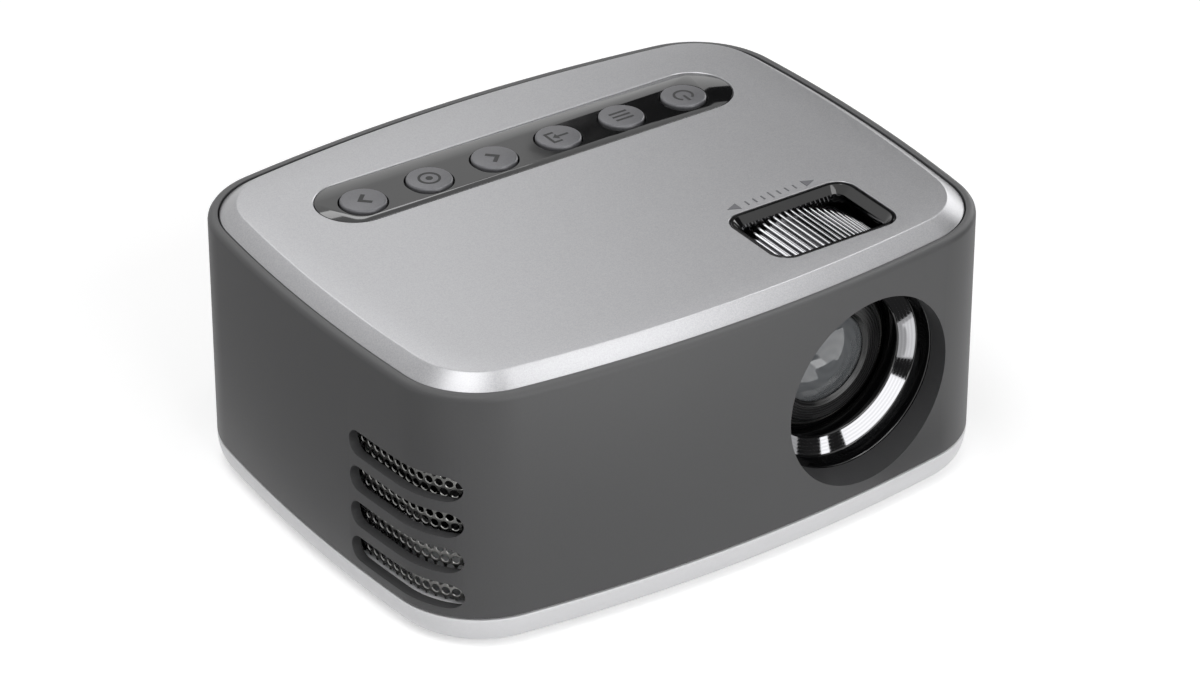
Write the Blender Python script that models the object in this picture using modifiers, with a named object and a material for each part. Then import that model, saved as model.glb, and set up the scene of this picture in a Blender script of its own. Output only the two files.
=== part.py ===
"""Palm-size LED projector with a focus wheel, modelled at real size.

Lengths are in metres and +Z is up. The lens looks along -Y, +X is on the right of
someone who faces the lens, and the origin lies under the middle of the case, on the
plane that the feet stand on. Parts that lie along the lens axis are turned with their
own Z pointing forwards, so their heights are distances in front of the case's middle.
"""
from math import atan2, cos, pi, radians, sin, sqrt

import bmesh
import bpy
from mathutils import Matrix, Vector
from mathutils.geometry import intersect_sphere_sphere_2d

PART_COLLECTION = "mini_projector"
TOOL_COLLECTION = "cutters"

# Clearances and mesh fineness
GAP = 0.0003
OVERRUN = 0.0010
MERGE = 0.00001
FINE_STEPS = 48
ROUND_STEPS = 24
SMALL_STEPS = 12
BOW_STEPS = 3
CORNER_STEPS = 6
SMOOTH_ANGLE = radians(35)

# Case outline, seen from above
BODY_WIDTH = 0.1270
BODY_DEPTH = 0.1003
FRONT_BOW_RADIUS = 0.3178
SIDE_BOW_RADIUS = 0.3139
CORNER_RADIUS = 0.0184

# Lens axis and the rings round it, from the barrel outwards
LENS_SET_IN = 0.0355
LENS_X = BODY_WIDTH / 2 - LENS_SET_IN
BARREL_RADIUS = 0.0143
BARREL_PLAY = 0.0004
MOUNT_WALL = 0.0020
HUB_WALL = 0.0026
HUB_TO_RIM = 0.0018
RIM_WALL = 0.0028
RIB_DEPTH = 0.0007
RIB_COUNT = 116
MOUNT_BORE = BARREL_RADIUS + BARREL_PLAY
MOUNT_RADIUS = MOUNT_BORE + MOUNT_WALL
HUB_BORE = MOUNT_RADIUS + GAP
HUB_RADIUS = HUB_BORE + HUB_WALL
DRUM_BORE = HUB_RADIUS + HUB_TO_RIM
WHEEL_RADIUS = DRUM_BORE + RIM_WALL + RIB_DEPTH
TUBE_TO_WHEEL = 0.0010
TUBE_WALL = 0.0015
TUBE_RADIUS = DRUM_BORE - TUBE_TO_WHEEL
RECESS_RADIUS = TUBE_RADIUS - TUBE_WALL

# Heights of the case, built up from the feet
FOOT_PROUD = 0.0010
FOOT_SINK = 0.0005
FOOT_RADIUS = 0.0050
FOOT_SIDE_INSET = 0.0215
FOOT_END_INSET = 0.0221
FOOT_X = BODY_WIDTH / 2 - FOOT_SIDE_INSET
FOOT_Y = BODY_DEPTH / 2 - FOOT_END_INSET
TRAY_HEIGHT = 0.0053
TRAY_TUCK = 0.0024
TRAY_FLOOR = 0.0016
TRAY_WALL = 0.0012
LIP_HEIGHT = 0.0020
WHEEL_TO_FLOOR = 0.0005
WHEEL_SINK = 0.0017
PLATE_RISE = 0.0020
TRAY_BOTTOM = FOOT_PROUD
TRAY_FLOOR_TOP = TRAY_BOTTOM + TRAY_FLOOR
JOINT_Z = TRAY_BOTTOM + TRAY_HEIGHT
LIP_TOP = JOINT_Z + LIP_HEIGHT
SHELL_BOTTOM = JOINT_Z + GAP
LENS_Z = TRAY_FLOOR_TOP + WHEEL_TO_FLOOR + WHEEL_RADIUS
PLATE_TOP = LENS_Z + WHEEL_RADIUS + WHEEL_SINK
RIM_TOP = PLATE_TOP - PLATE_RISE

# Side shell
WALL = 0.0019
RIM_FILLET = 0.0012
RIM_FILLET_STEPS = 2
LEDGE_REACH = 0.0020
LEDGE_THICK = 0.0012
POST_RADIUS = 0.0034
POST_SET_IN = 0.0032
FRONT_POST_INSET = 0.0295
FRONT_POST_X = FRONT_POST_INSET - BODY_WIDTH / 2
SIDE_POST_Y = -0.0140
REAR_POST_ANGLE = radians(45)
POST_BELOW_LEDGE = 0.0020

# Top plate, key strip and focus slot
PLATE_INSET = WALL + GAP
CHAMFER_RUN = 0.0032
CHAMFER_DROP = 0.0023
PLATE_THICK = 0.0024
SKIRT_WALL = 0.0016
SKIRT_DROP = 0.0012
PLATE_UNDER = PLATE_TOP - PLATE_THICK
SKIRT_BOTTOM = PLATE_UNDER - SKIRT_DROP
LEDGE_TOP = SKIRT_BOTTOM - GAP
STRIP_X = 0.0013
STRIP_Y = 0.0233
STRIP_SPAN = 0.0757
STRIP_RADIUS = 0.0078
STRIP_SINK = 0.0004
STRIP_THICK = 0.0010
STRIP_TOP = PLATE_TOP - STRIP_SINK
STRIP_BOTTOM = STRIP_TOP - STRIP_THICK
SLOT_SHIFT = 0.0007
SLOT_SET_BACK = 0.0210
SLOT_X = LENS_X + SLOT_SHIFT
SLOT_Y = SLOT_SET_BACK - BODY_DEPTH / 2
SLOT_WIDTH = 0.0279
SLOT_DEPTH = 0.0189
SLOT_CORNER = 0.0040
BEZEL_SINK = 0.0002
BEZEL_RIM = 0.0004
BEZEL_DRAFT_X = 0.0009
BEZEL_DRAFT_Y = 0.0002
BEZEL_HEIGHT = 0.0019
BEZEL_FLANGE = 0.0018
BEZEL_FLANGE_THICK = 0.0012

# Keys: caps, switches and their board
KEY_COUNT = 6
KEY_PITCH = 0.01436
KEY_MIDDLE_X = 0.0004
KEY_Y = 0.0224
KEY_RADIUS = 0.0044
KEY_PROUD = 0.0009
KEY_CHAMFER = 0.0004
KEY_FLANGE = 0.0008
KEY_FLANGE_THICK = 0.0010
KEY_TRAVEL = 0.0004
KEY_SLACK = 0.0002
SWITCH_SIZE = 0.0060
SWITCH_BODY = 0.0013
PLUNGER_RADIUS = 0.0016
PLUNGER_PROUD = 0.0004
KEY_BOARD_THICK = 0.0012
KEY_BOARD_DEPTH = 0.0110
KEY_BOARD_END = 0.0065
KEY_TOP = STRIP_TOP + KEY_PROUD
KEY_FLANGE_TOP = PLATE_UNDER - GAP
KEY_FLANGE_BOTTOM = KEY_FLANGE_TOP - KEY_FLANGE_THICK
PLUNGER_TOP = KEY_FLANGE_BOTTOM - KEY_TRAVEL - KEY_SLACK
SWITCH_TOP = PLUNGER_TOP - PLUNGER_PROUD
SWITCH_BOTTOM = SWITCH_TOP - SWITCH_BODY
KEY_BOARD_TOP = SWITCH_BOTTOM - GAP
KEY_BOARD_BOTTOM = KEY_BOARD_TOP - KEY_BOARD_THICK
PILLAR_RADIUS = 0.0016
PILLAR_KEY_COUNT = 2

# Screws
SCREW_RADIUS = 0.0010
SCREW_HEAD_RADIUS = 0.0020
SCREW_HEAD_THICK = 0.0014
SCREW_LENGTH = 0.0140
SCREW_RECESS = 0.0007
SCREW_CROSS = 0.0006
SCREW_CROSS_SPAN = 0.0022
SMALL_SCREW_RADIUS = 0.0007
SMALL_SCREW_HEAD = 0.0015
SMALL_SCREW_HEAD_THICK = 0.0008
SMALL_SCREW_LENGTH = 0.0040

# Distances in front of the middle of the case, along the lens axis
WHEEL_END_PLAY = 0.0004
WHEEL_LENGTH = SLOT_DEPTH - 2 * (GAP + BEZEL_RIM + BEZEL_DRAFT_Y + WHEEL_END_PLAY)
WHEEL_REAR = -SLOT_Y - WHEEL_LENGTH / 2
WHEEL_FRONT = WHEEL_REAR + WHEEL_LENGTH
WEB_THICK = 0.0025
HUB_LENGTH = 0.0097
HUB_FRONT = WHEEL_REAR + HUB_LENGTH
SHOULDER_FRONT = WHEEL_REAR - GAP
SHOULDER_THICK = 0.0022
SHOULDER_HEIGHT = 0.0019
MOUNT_TAIL = 0.0058
MOUNT_FLANGE = 0.0029
MOUNT_FLANGE_THICK = 0.0018
MOUNT_FLANGE_FRONT = SHOULDER_FRONT - SHOULDER_THICK - MOUNT_TAIL
MOUNT_REAR = MOUNT_FLANGE_FRONT - MOUNT_FLANGE_THICK
RETAINER_THICK = 0.0012
RETAINER_HEIGHT = 0.0018
RETAINER_REAR = HUB_FRONT + GAP
MOUNT_FRONT = RETAINER_REAR + RETAINER_THICK

# Focus movement: pins on the barrel run in straight slots of the mount and in
# slanted slots of the focus ring's hub
FOCUS_ANGLE = radians(45)
FOCUS_TRAVEL = 0.0015
PIN_COUNT = 3
PIN_RADIUS = 0.0012
PIN_PLAY = 0.0003
PIN_FORWARD = WHEEL_REAR + HUB_LENGTH / 2
PIN_TIP = HUB_RADIUS - PIN_PLAY
SLANT_STEPS = 6

# Trim ring in the recess
RECESS_DEPTH = 0.0082
TRIM_LAND = 0.0031
TRIM_CONE = 0.0016
TRIM_SLEEVE = 0.0034
TRIM_FRONT = BODY_DEPTH / 2 - RECESS_DEPTH
TRIM_CONE_FRONT = TRIM_FRONT - TRIM_LAND
TRIM_CONE_REAR = TRIM_CONE_FRONT - TRIM_CONE
TRIM_STEP = 0.0006
TRIM_CONE_RADIUS = RECESS_RADIUS - TRIM_STEP
TRIM_REAR = TRIM_CONE_REAR - TRIM_SLEEVE
TRIM_PLAY = 0.0005
TRIM_BORE = BARREL_RADIUS + TRIM_PLAY
TRIM_SLEEVE_WALL = 0.0014
TRIM_BODY = 0.0050
TUBE_REAR = TRIM_FRONT + GAP

# Barrel and its glass
BARREL_BEHIND_TRIM = 0.0002
BARREL_LENGTH = 0.0196
BARREL_FRONT = TRIM_REAR - BARREL_BEHIND_TRIM
BARREL_REAR = BARREL_FRONT - BARREL_LENGTH
WINDOW_WALL = 0.0053
FRONT_GLASS_WALL = 0.0039
MIDDLE_GLASS_WALL = 0.0063
REAR_GLASS_WALL = 0.0031
THROAT_WALL = 0.0075
GLASS_WINDOW = BARREL_RADIUS - WINDOW_WALL
FRONT_GLASS_RADIUS = BARREL_RADIUS - FRONT_GLASS_WALL
FRONT_GLASS_EDGE = 0.0020
FRONT_GLASS_BULGE = 0.0030
FRONT_SEAT_DEPTH = 0.0034
MIDDLE_GLASS_RADIUS = BARREL_RADIUS - MIDDLE_GLASS_WALL
MIDDLE_GLASS_EDGE = 0.0032
MIDDLE_GLASS_HOLLOW = 0.0010
MIDDLE_SEAT_DEPTH = 0.0092
REAR_GLASS_RADIUS = BARREL_RADIUS - REAR_GLASS_WALL
REAR_GLASS_EDGE = 0.0018
REAR_GLASS_BULGE = 0.0024
REAR_SEAT_DEPTH = 0.0040
THROAT_RADIUS = BARREL_RADIUS - THROAT_WALL
RING_LIP = 0.0009
LENS_RING_STEP = 0.0015
LENS_RING_RADIUS = BARREL_RADIUS - LENS_RING_STEP
LENS_RING_THICK = 0.0010
ARC_STEPS = 4

# Light engine: a box with the panels in grooves and a folding mirror
ENGINE_WALL = 0.0018
ENGINE_FLOOR = 0.0016
ENGINE_COVER = 0.0016
CHANNEL_WIDTH = 0.0380
CHANNEL_OVER_BARREL = 0.0007
CHANNEL_HEIGHT = 2 * (BARREL_RADIUS + CHANNEL_OVER_BARREL)
MIRROR_RUN = 0.0180
MIRROR_THICK = 0.0018
MIRROR_TO_PANEL = 0.0030
GROOVE_DEPTH = 0.0011
FRESNEL_THICK = 0.0016
FRESNEL_TO_LCD = 0.0020
LCD_THICK = 0.0026
LCD_TO_COLLIMATOR = 0.0026
COLLIMATOR_TO_GLASS = 0.0040
HEAT_GLASS_THICK = 0.0011
GLASS_TO_CONDENSER = 0.0036
CONDENSER_TO_CHANNEL = 0.0008
CONDENSER_RADIUS = CHANNEL_HEIGHT / 2 - CONDENSER_TO_CHANNEL
CONDENSER_EDGE = 0.0020
CONDENSER_BULGE = 0.0058
LED_TO_CONDENSER = 0.0016
LED_SIZE = 0.0090
LED_THICK = 0.0012
LED_BOARD_THICK = 0.0016
ENGINE_FRONT_Y = -(MOUNT_REAR - GAP)
CHANNEL_FRONT_Y = ENGINE_FRONT_Y + ENGINE_WALL
LIGHT_Y = CHANNEL_FRONT_Y + CHANNEL_WIDTH / 2
CHANNEL_REAR_Y = CHANNEL_FRONT_Y + CHANNEL_WIDTH
ENGINE_REAR_Y = CHANNEL_REAR_Y + ENGINE_WALL
CHANNEL_FLOOR_Z = LENS_Z - CHANNEL_HEIGHT / 2
CHANNEL_TOP_Z = LENS_Z + CHANNEL_HEIGHT / 2
ENGINE_BOTTOM_Z = CHANNEL_FLOOR_Z - ENGINE_FLOOR
MIRROR_LEFT_X = LENS_X - MIRROR_RUN
CHANNEL_RIGHT_X = LENS_X + MIRROR_RUN + 2 * MIRROR_THICK
ENGINE_RIGHT_X = CHANNEL_RIGHT_X + ENGINE_WALL
FIELD_X = MIRROR_LEFT_X - MIRROR_TO_PANEL
LCD_X = FIELD_X - FRESNEL_THICK - FRESNEL_TO_LCD
COLLIMATOR_X = LCD_X - LCD_THICK - LCD_TO_COLLIMATOR
HEAT_GLASS_X = COLLIMATOR_X - FRESNEL_THICK - COLLIMATOR_TO_GLASS
CONDENSER_X = HEAT_GLASS_X - HEAT_GLASS_THICK - GLASS_TO_CONDENSER - CONDENSER_BULGE
ENGINE_LEFT_X = CONDENSER_X - CONDENSER_EDGE
LED_FACE_X = ENGINE_LEFT_X - LED_TO_CONDENSER
LED_BOARD_X = LED_FACE_X - LED_THICK
SINK_BASE_X = LED_BOARD_X - LED_BOARD_THICK - GAP
ENGINE_LEG_RADIUS = 0.0030
ENGINE_LEG_SET_IN = 0.0060
STANDOFF_RADIUS = 0.0022
STANDOFF_SET_IN = 0.0042

# Heatsink and fan
SINK_DEPTH = 0.0320
SINK_OVER_CHANNEL = 0.0010
SINK_HEIGHT = CHANNEL_HEIGHT + 2 * SINK_OVER_CHANNEL
LED_BOARD_MARGIN = 0.0060
LED_BOARD_SIZE = SINK_HEIGHT - 2 * LED_BOARD_MARGIN
SINK_BASE = 0.0030
FIN_LENGTH = 0.0150
FIN_COUNT = 9
FIN_THICK = 0.0012
FAN_SIZE = 0.0350
FAN_THICK = 0.0100
FAN_BORE = 0.0163
FAN_SET_IN = 0.0190
FAN_X = FAN_SET_IN - BODY_WIDTH / 2
FAN_TO_SINK = 0.0010
FAN_HUB_RADIUS = 0.0076
FAN_TIP_PLAY = 0.0008
FAN_BACK = 0.0020
FAN_SHAFT_RADIUS = 0.0009
FAN_STRUT = 0.0018
BLADE_COUNT = 7
BLADE_PITCH = radians(42)
BLADE_CHORD = 0.0074
BLADE_THICK = 0.0008
BLADE_ROOT_SINK = 0.0012
FAN_Y = LIGHT_Y - SINK_DEPTH / 2 - FAN_TO_SINK - FAN_SIZE / 2
FAN_Z = LENS_Z
FAN_BOTTOM = FAN_Z - FAN_SIZE / 2
CRADLE_WALL = 0.0014
CRADLE_HOLD = 0.0030
CRADLE_SHARE = 0.6

# Vents at the front left corner, with their mesh
VENT_COUNT = 4
VENT_PITCH = 0.00745
VENT_HEIGHT = 0.0052
VENT_LOWEST = 0.0110
VENT_RUN = 0.0126
VENT_TURN = radians(48)
MESH_THICK = 0.0005
MESH_CUT_DEPTH = 0.0015
MESH_MARGIN = 0.0030
MESH_HOLE_RADIUS = 0.0008
MESH_COLUMN_COUNT = 7
MESH_ROW_COUNT = 2
MESH_HOLE_STEPS = 6
REAR_VENT_SET_IN = 0.0213
REAR_VENT_X = REAR_VENT_SET_IN - BODY_WIDTH / 2
REAR_VENT_LENGTH = 0.0125
REAR_VENT_COUNT = 3

# Main board and the sockets along its rear edge
BOARD_THICK = 0.0016
BOARD_LIFT = 0.0035
BOARD_LEFT_INSET = 0.0265
BOARD_RIGHT_INSET = 0.0205
BOARD_REAR_INSET = 0.0077
BOARD_DEPTH = 0.0355
BOARD_LEFT_X = BOARD_LEFT_INSET - BODY_WIDTH / 2
BOARD_RIGHT_X = BODY_WIDTH / 2 - BOARD_RIGHT_INSET
BOARD_REAR_Y = BODY_DEPTH / 2 - BOARD_REAR_INSET
BOARD_FRONT_Y = BOARD_REAR_Y - BOARD_DEPTH
BOARD_PEG_RADIUS = 0.0026
BOARD_PEG_SET_IN = 0.0036
CHIP_SIZE = 0.0120
CHIP_THICK = 0.0011
SOCKET_INSET = 0.0027
SOCKET_FACE_Y = BODY_DEPTH / 2 - SOCKET_INSET
SOCKET_PLAY = 0.0004
BOARD_BOTTOM = TRAY_FLOOR_TOP + BOARD_LIFT + GAP
BOARD_TOP = BOARD_BOTTOM + BOARD_THICK
SOCKET_BOTTOM = BOARD_TOP + GAP
HDMI_X, HDMI_WIDTH, HDMI_HEIGHT, HDMI_DEPTH = -0.0020, 0.0150, 0.0058, 0.0115
HDMI_WALL = 0.0005
HDMI_TONGUE = 0.0010
USB_X, USB_WIDTH, USB_HEIGHT, USB_DEPTH = 0.0220, 0.0144, 0.0070, 0.0140
USB_WALL = 0.0007
USB_TONGUE = 0.0019
CARD_X, CARD_WIDTH, CARD_HEIGHT, CARD_DEPTH = 0.0370, 0.0120, 0.0018, 0.0110
CARD_WALL = 0.0004
AV_X, AV_WIDTH, AV_HEIGHT, AV_DEPTH = -0.0170, 0.0064, 0.0052, 0.0120
AV_BORE = 0.0018
POWER_X, POWER_WIDTH, POWER_HEIGHT, POWER_DEPTH = -0.0290, 0.0090, 0.0108, 0.0140
POWER_BORE = 0.0032
POWER_PIN = 0.0010
EYE_X, EYE_WIDTH, EYE_HEIGHT, EYE_DEPTH = 0.0095, 0.0052, 0.0064, 0.0044
EYE_RADIUS = 0.0020
EYE_PROUD = 0.0008
SOCKET_CUT_DEPTH = 0.0040

# Speaker, with its holes in the tray, and the stand nut
SPEAKER_FROM_FAN = 0.0265
SPEAKER_SET_BACK = 0.0231
SPEAKER_X = FAN_X + SPEAKER_FROM_FAN
SPEAKER_Y = SPEAKER_SET_BACK - BODY_DEPTH / 2
SPEAKER_RADIUS = 0.0140
SPEAKER_FRAME = 0.0024
SPEAKER_HEIGHT = 0.0098
MAGNET_RADIUS = 0.0074
MAGNET_HEIGHT = 0.0044
SPEAKER_ROLL = 0.0022
SPEAKER_CONE_DEPTH = 0.0034
SPEAKER_CAP_RADIUS = 0.0032
SPEAKER_HOLE_RADIUS = 0.0010
SPEAKER_HOLE_RING = 0.0062
SPEAKER_HOLE_COUNT = 8
NUT_RADIUS = 0.0040
NUT_LENGTH = 0.0065
NUT_BORE = 0.0030
NUT_WALL = 0.0024
NUT_Y = -0.0030

# Finishes: colour, roughness, metallic, transmission
DARK_GREY_PLASTIC = ((0.075, 0.075, 0.076), 0.45, 0.0, 0.0)
SILVER_PAINT = ((0.46, 0.46, 0.47), 0.32, 0.75, 0.0)
PALE_PLASTIC = ((0.74, 0.74, 0.75), 0.40, 0.0, 0.0)
PIANO_BLACK = ((0.012, 0.012, 0.013), 0.12, 0.0, 0.0)
MATTE_BLACK = ((0.020, 0.020, 0.021), 0.60, 0.0, 0.0)
KEY_GREY = ((0.13, 0.13, 0.13), 0.38, 0.1, 0.0)
BLACK_RUBBER = ((0.025, 0.025, 0.026), 0.85, 0.0, 0.0)
STEEL = ((0.55, 0.55, 0.56), 0.30, 1.0, 0.0)
ALUMINIUM = ((0.70, 0.71, 0.72), 0.38, 1.0, 0.0)
BRASS = ((0.71, 0.55, 0.26), 0.30, 1.0, 0.0)
CLEAR_GLASS = ((0.90, 0.93, 0.95), 0.03, 0.0, 1.0)
CLEAR_ACRYLIC = ((0.92, 0.94, 0.96), 0.08, 0.0, 0.9)
LCD_FILM = ((0.10, 0.11, 0.14), 0.20, 0.0, 0.2)
MIRROR_SILVER = ((0.90, 0.91, 0.92), 0.03, 1.0, 0.0)
BOARD_GREEN = ((0.03, 0.19, 0.08), 0.45, 0.0, 0.0)
WHITE_BOARD = ((0.80, 0.80, 0.78), 0.45, 0.0, 0.0)


def clear_scene():
    """Empty the scene and make the two collections."""
    for thing in list(bpy.data.objects):
        bpy.data.objects.remove(thing)
    for name in (PART_COLLECTION, TOOL_COLLECTION):
        group = bpy.data.collections.new(name)
        bpy.context.scene.collection.children.link(group)


def dress(piece, look):
    """Give a piece its own Principled material."""
    colour, roughness, metallic, transmission = look
    material = bpy.data.materials.new(piece.name)
    material.use_nodes = True
    shader = material.node_tree.nodes["Principled BSDF"]
    shader.inputs["Base Color"].default_value = (*colour, 1.0)
    shader.inputs["Roughness"].default_value = roughness
    shader.inputs["Metallic"].default_value = metallic
    shader.inputs["Transmission Weight"].default_value = transmission
    piece.data.materials.append(material)


def place(name, mesh, look, at, turn, parent):
    """Put a mesh in the scene: a part has a look, a cutter or filler has none."""
    piece = bpy.data.objects.new(name, mesh)
    piece.location = at
    piece.rotation_euler = turn
    if parent is not None:
        piece.parent = parent
    if look is None:
        bpy.data.collections[TOOL_COLLECTION].objects.link(piece)
        piece.hide_render = True
        piece.display_type = 'WIRE'
    else:
        bpy.data.collections[PART_COLLECTION].objects.link(piece)
        dress(piece, look)
    return piece


def from_bmesh(name, shape, look=None, at=(0, 0, 0), turn=(0, 0, 0), parent=None):
    """Finish a bmesh as an object, with its round faces shaded smooth."""
    bmesh.ops.recalc_face_normals(shape, faces=shape.faces)
    mesh = bpy.data.meshes.new(name)
    shape.to_mesh(mesh)
    shape.free()
    mesh.shade_smooth()
    mesh.set_sharp_from_angle(angle=SMOOTH_ANGLE)
    return place(name, mesh, look, at, turn, parent)


def join(target, tool, operation='DIFFERENCE'):
    """Cut a tool from a piece, add it or keep what they share."""
    modifier = target.modifiers.new(tool.name, 'BOOLEAN')
    modifier.operation = operation
    modifier.solver = 'EXACT'
    modifier.object = tool
    return target


def loft(loops, closed=False, shape=None):
    """Skin a row of equal loops; a closed row makes a ring, an open one gets end faces."""
    shape = shape or bmesh.new()
    rows = [[shape.verts.new(point) for point in loop] for loop in loops]
    pairs = list(zip(rows, rows[1:]))
    if closed:
        pairs.append((rows[-1], rows[0]))
    for lower, upper in pairs:
        for index, point in enumerate(lower):
            shape.faces.new((lower[index - 1], point, upper[index], upper[index - 1]))
    if not closed:
        shape.faces.new(rows[0])
        shape.faces.new(rows[-1])
    return shape


def add_box(shape, low, high):
    """Add a box between two corners to a bmesh."""
    low, high = Vector(low), Vector(high)
    size = high - low
    matrix = Matrix.Translation((low + high) / 2) @ Matrix.Diagonal((*size, 1))
    bmesh.ops.create_cube(shape, size=1, matrix=matrix)


def box(name, low, high, look=None, **where):
    """Make a box between two corners."""
    shape = bmesh.new()
    add_box(shape, low, high)
    return from_bmesh(name, shape, look, **where)


def boxes(name, corners, look=None, **where):
    """Make several boxes that don't touch, in one mesh."""
    shape = bmesh.new()
    for low, high in corners:
        add_box(shape, low, high)
    return from_bmesh(name, shape, look, **where)


def add_rod(shape, radius, bottom, top, at, steps):
    """Add an upright cylinder to a bmesh."""
    matrix = Matrix.Translation((*at, (bottom + top) / 2))
    bmesh.ops.create_cone(shape, cap_ends=True, segments=steps, radius1=radius,
                          radius2=radius, depth=top - bottom, matrix=matrix)


def rods(name, radius, bottom, top, places, look=None, steps=SMALL_STEPS, **where):
    """Make upright cylinders of one size at several places, in one mesh."""
    shape = bmesh.new()
    for at in places:
        add_rod(shape, radius, bottom, top, at, steps)
    return from_bmesh(name, shape, look, **where)


def prism(name, outline, bottom, top, look=None, **where):
    """Raise a flat outline from one height to another."""
    loops = [[(x, y, height) for x, y in outline] for height in (bottom, top)]
    return from_bmesh(name, loft(loops), look, **where)


def turned(name, profile, look=None, steps=FINE_STEPS, at=(0, 0, 0), turn=(0, 0, 0), parent=None):
    """Turn a profile of (radius, height) about Z; it runs down its outer side.

    A profile that starts and ends on the axis is left open there, another is closed.
    """
    on_axis = profile[0][0] == 0 and profile[-1][0] == 0
    count = len(profile)
    edges = [(index, index + 1) for index in range(count - 1)]
    if not on_axis:
        edges.append((count - 1, 0))
    mesh = bpy.data.meshes.new(name)
    mesh.from_pydata([(radius, 0, height) for radius, height in profile], edges, [])
    piece = place(name, mesh, look, at, turn, parent)
    screw = piece.modifiers.new("turn", 'SCREW')
    screw.axis = 'Z'
    screw.angle = 2 * pi
    screw.screw_offset = 0
    screw.steps = steps
    screw.render_steps = steps
    screw.use_merge_vertices = True
    screw.merge_threshold = MERGE
    screw.use_smooth_shade = True
    return piece


def arc(centre, radius, start, end, steps):
    """Points of an arc, from the start angle to the end angle."""
    angles = [start + (end - start) * step / steps for step in range(steps + 1)]
    return [(centre[0] + radius * cos(a), centre[1] + radius * sin(a)) for a in angles]


def stadium(width, height, steps=SMALL_STEPS // 2):
    """Outline of a slot with round ends, its length along the first axis."""
    radius = height / 2
    reach = width / 2 - radius
    return (arc((reach, 0), radius, -pi / 2, pi / 2, steps)
            + arc((-reach, 0), radius, pi / 2, 3 * pi / 2, steps))


def rounded_rectangle(centre, width, height, radius, steps=4):
    """Outline of a rectangle with round corners."""
    across, along = width / 2 - radius, height / 2 - radius
    corners = ((across, along, 0), (-across, along, 1), (-across, -along, 2), (across, -along, 3))
    points = []
    for x, y, quarter in corners:
        middle = (centre[0] + x, centre[1] + y)
        points += arc(middle, radius, quarter * pi / 2, (quarter + 1) * pi / 2, steps)
    return points


def spread(count, pitch, middle=0):
    """Places of evenly spaced things about a middle."""
    return [middle + (index - (count - 1) / 2) * pitch for index in range(count)]


FORWARD = (radians(90), 0, 0)
TO_RIGHT = (0, radians(90), 0)
LENS_AXIS = (LENS_X, 0, LENS_Z)


def corner_centre():
    """Centre of the corner arc that runs smoothly into the rear and right walls."""
    rear_arc = Vector((0, BODY_DEPTH / 2 - FRONT_BOW_RADIUS))
    side_arc = Vector((BODY_WIDTH / 2 - SIDE_BOW_RADIUS, 0))
    found = intersect_sphere_sphere_2d(rear_arc, FRONT_BOW_RADIUS - CORNER_RADIUS,
                                       side_arc, SIDE_BOW_RADIUS - CORNER_RADIUS)
    return max(found, key=lambda point: point.x + point.y)


def body_outline(inset, bow_steps=BOW_STEPS, corner_steps=CORNER_STEPS):
    """The bowed, round-cornered outline of the case, drawn in by an inset."""
    corner = corner_centre()
    rear_y = BODY_DEPTH / 2 - FRONT_BOW_RADIUS
    side_x = BODY_WIDTH / 2 - SIDE_BOW_RADIUS
    side_end = atan2(corner.y, corner.x - side_x)
    rear_end = atan2(corner.y - rear_y, corner.x)
    quarter = (arc((side_x, 0), SIDE_BOW_RADIUS - inset, 0, side_end, bow_steps)[:-1]
               + arc(corner, CORNER_RADIUS - inset, side_end, rear_end, corner_steps)[:-1]
               + arc((0, rear_y), FRONT_BOW_RADIUS - inset, rear_end, pi / 2, bow_steps))
    left = [(-x, y) for x, y in reversed(quarter[:-1])]
    upper = quarter + left
    lower = [(x, -y) for x, y in reversed(upper[1:-1])]
    return upper + lower


def body_loops(profile):
    """Loops of the case outline for a profile of (inset, height)."""
    return [[(x, y, height) for x, y in body_outline(inset)] for inset, height in profile]


def front_wall_y(x, inset=0):
    """Where the front wall lies at a given x."""
    return FRONT_BOW_RADIUS - BODY_DEPTH / 2 - sqrt((FRONT_BOW_RADIUS - inset) ** 2 - x ** 2)


def side_wall_x(y, inset=0):
    """Where the right wall lies at a given y."""
    return BODY_WIDTH / 2 - SIDE_BOW_RADIUS + sqrt((SIDE_BOW_RADIUS - inset) ** 2 - y ** 2)


def case_post_places():
    """Middles of the four screw posts: two in the rear corners, one front, one side."""
    reach = CORNER_RADIUS - WALL - POST_SET_IN
    corner = corner_centre() + reach * Vector((cos(REAR_POST_ANGLE), sin(REAR_POST_ANGLE)))
    set_in = WALL + POST_SET_IN
    return [(corner.x, corner.y), (-corner.x, corner.y),
            (FRONT_POST_X, front_wall_y(FRONT_POST_X, set_in)),
            (side_wall_x(SIDE_POST_Y, set_in), SIDE_POST_Y)]


def sockets():
    """Each rear socket's name, middle, width, height and depth."""
    return [("hdmi_socket", HDMI_X, HDMI_WIDTH, HDMI_HEIGHT, HDMI_DEPTH),
            ("usb_socket", USB_X, USB_WIDTH, USB_HEIGHT, USB_DEPTH),
            ("card_slot", CARD_X, CARD_WIDTH, CARD_HEIGHT, CARD_DEPTH),
            ("av_jack", AV_X, AV_WIDTH, AV_HEIGHT, AV_DEPTH),
            ("power_jack", POWER_X, POWER_WIDTH, POWER_HEIGHT, POWER_DEPTH),
            ("infrared_receiver", EYE_X, EYE_WIDTH, EYE_HEIGHT, EYE_DEPTH)]


def recess_cutter():
    """The round hole in the front wall, as wide as the lens recess."""
    profile = [(0, BODY_DEPTH / 2 + OVERRUN), (RECESS_RADIUS, BODY_DEPTH / 2 + OVERRUN),
               (RECESS_RADIUS, TUBE_REAR - OVERRUN), (0, TUBE_REAR - OVERRUN)]
    return turned("recess_cutter", profile, at=LENS_AXIS, turn=FORWARD)


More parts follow.
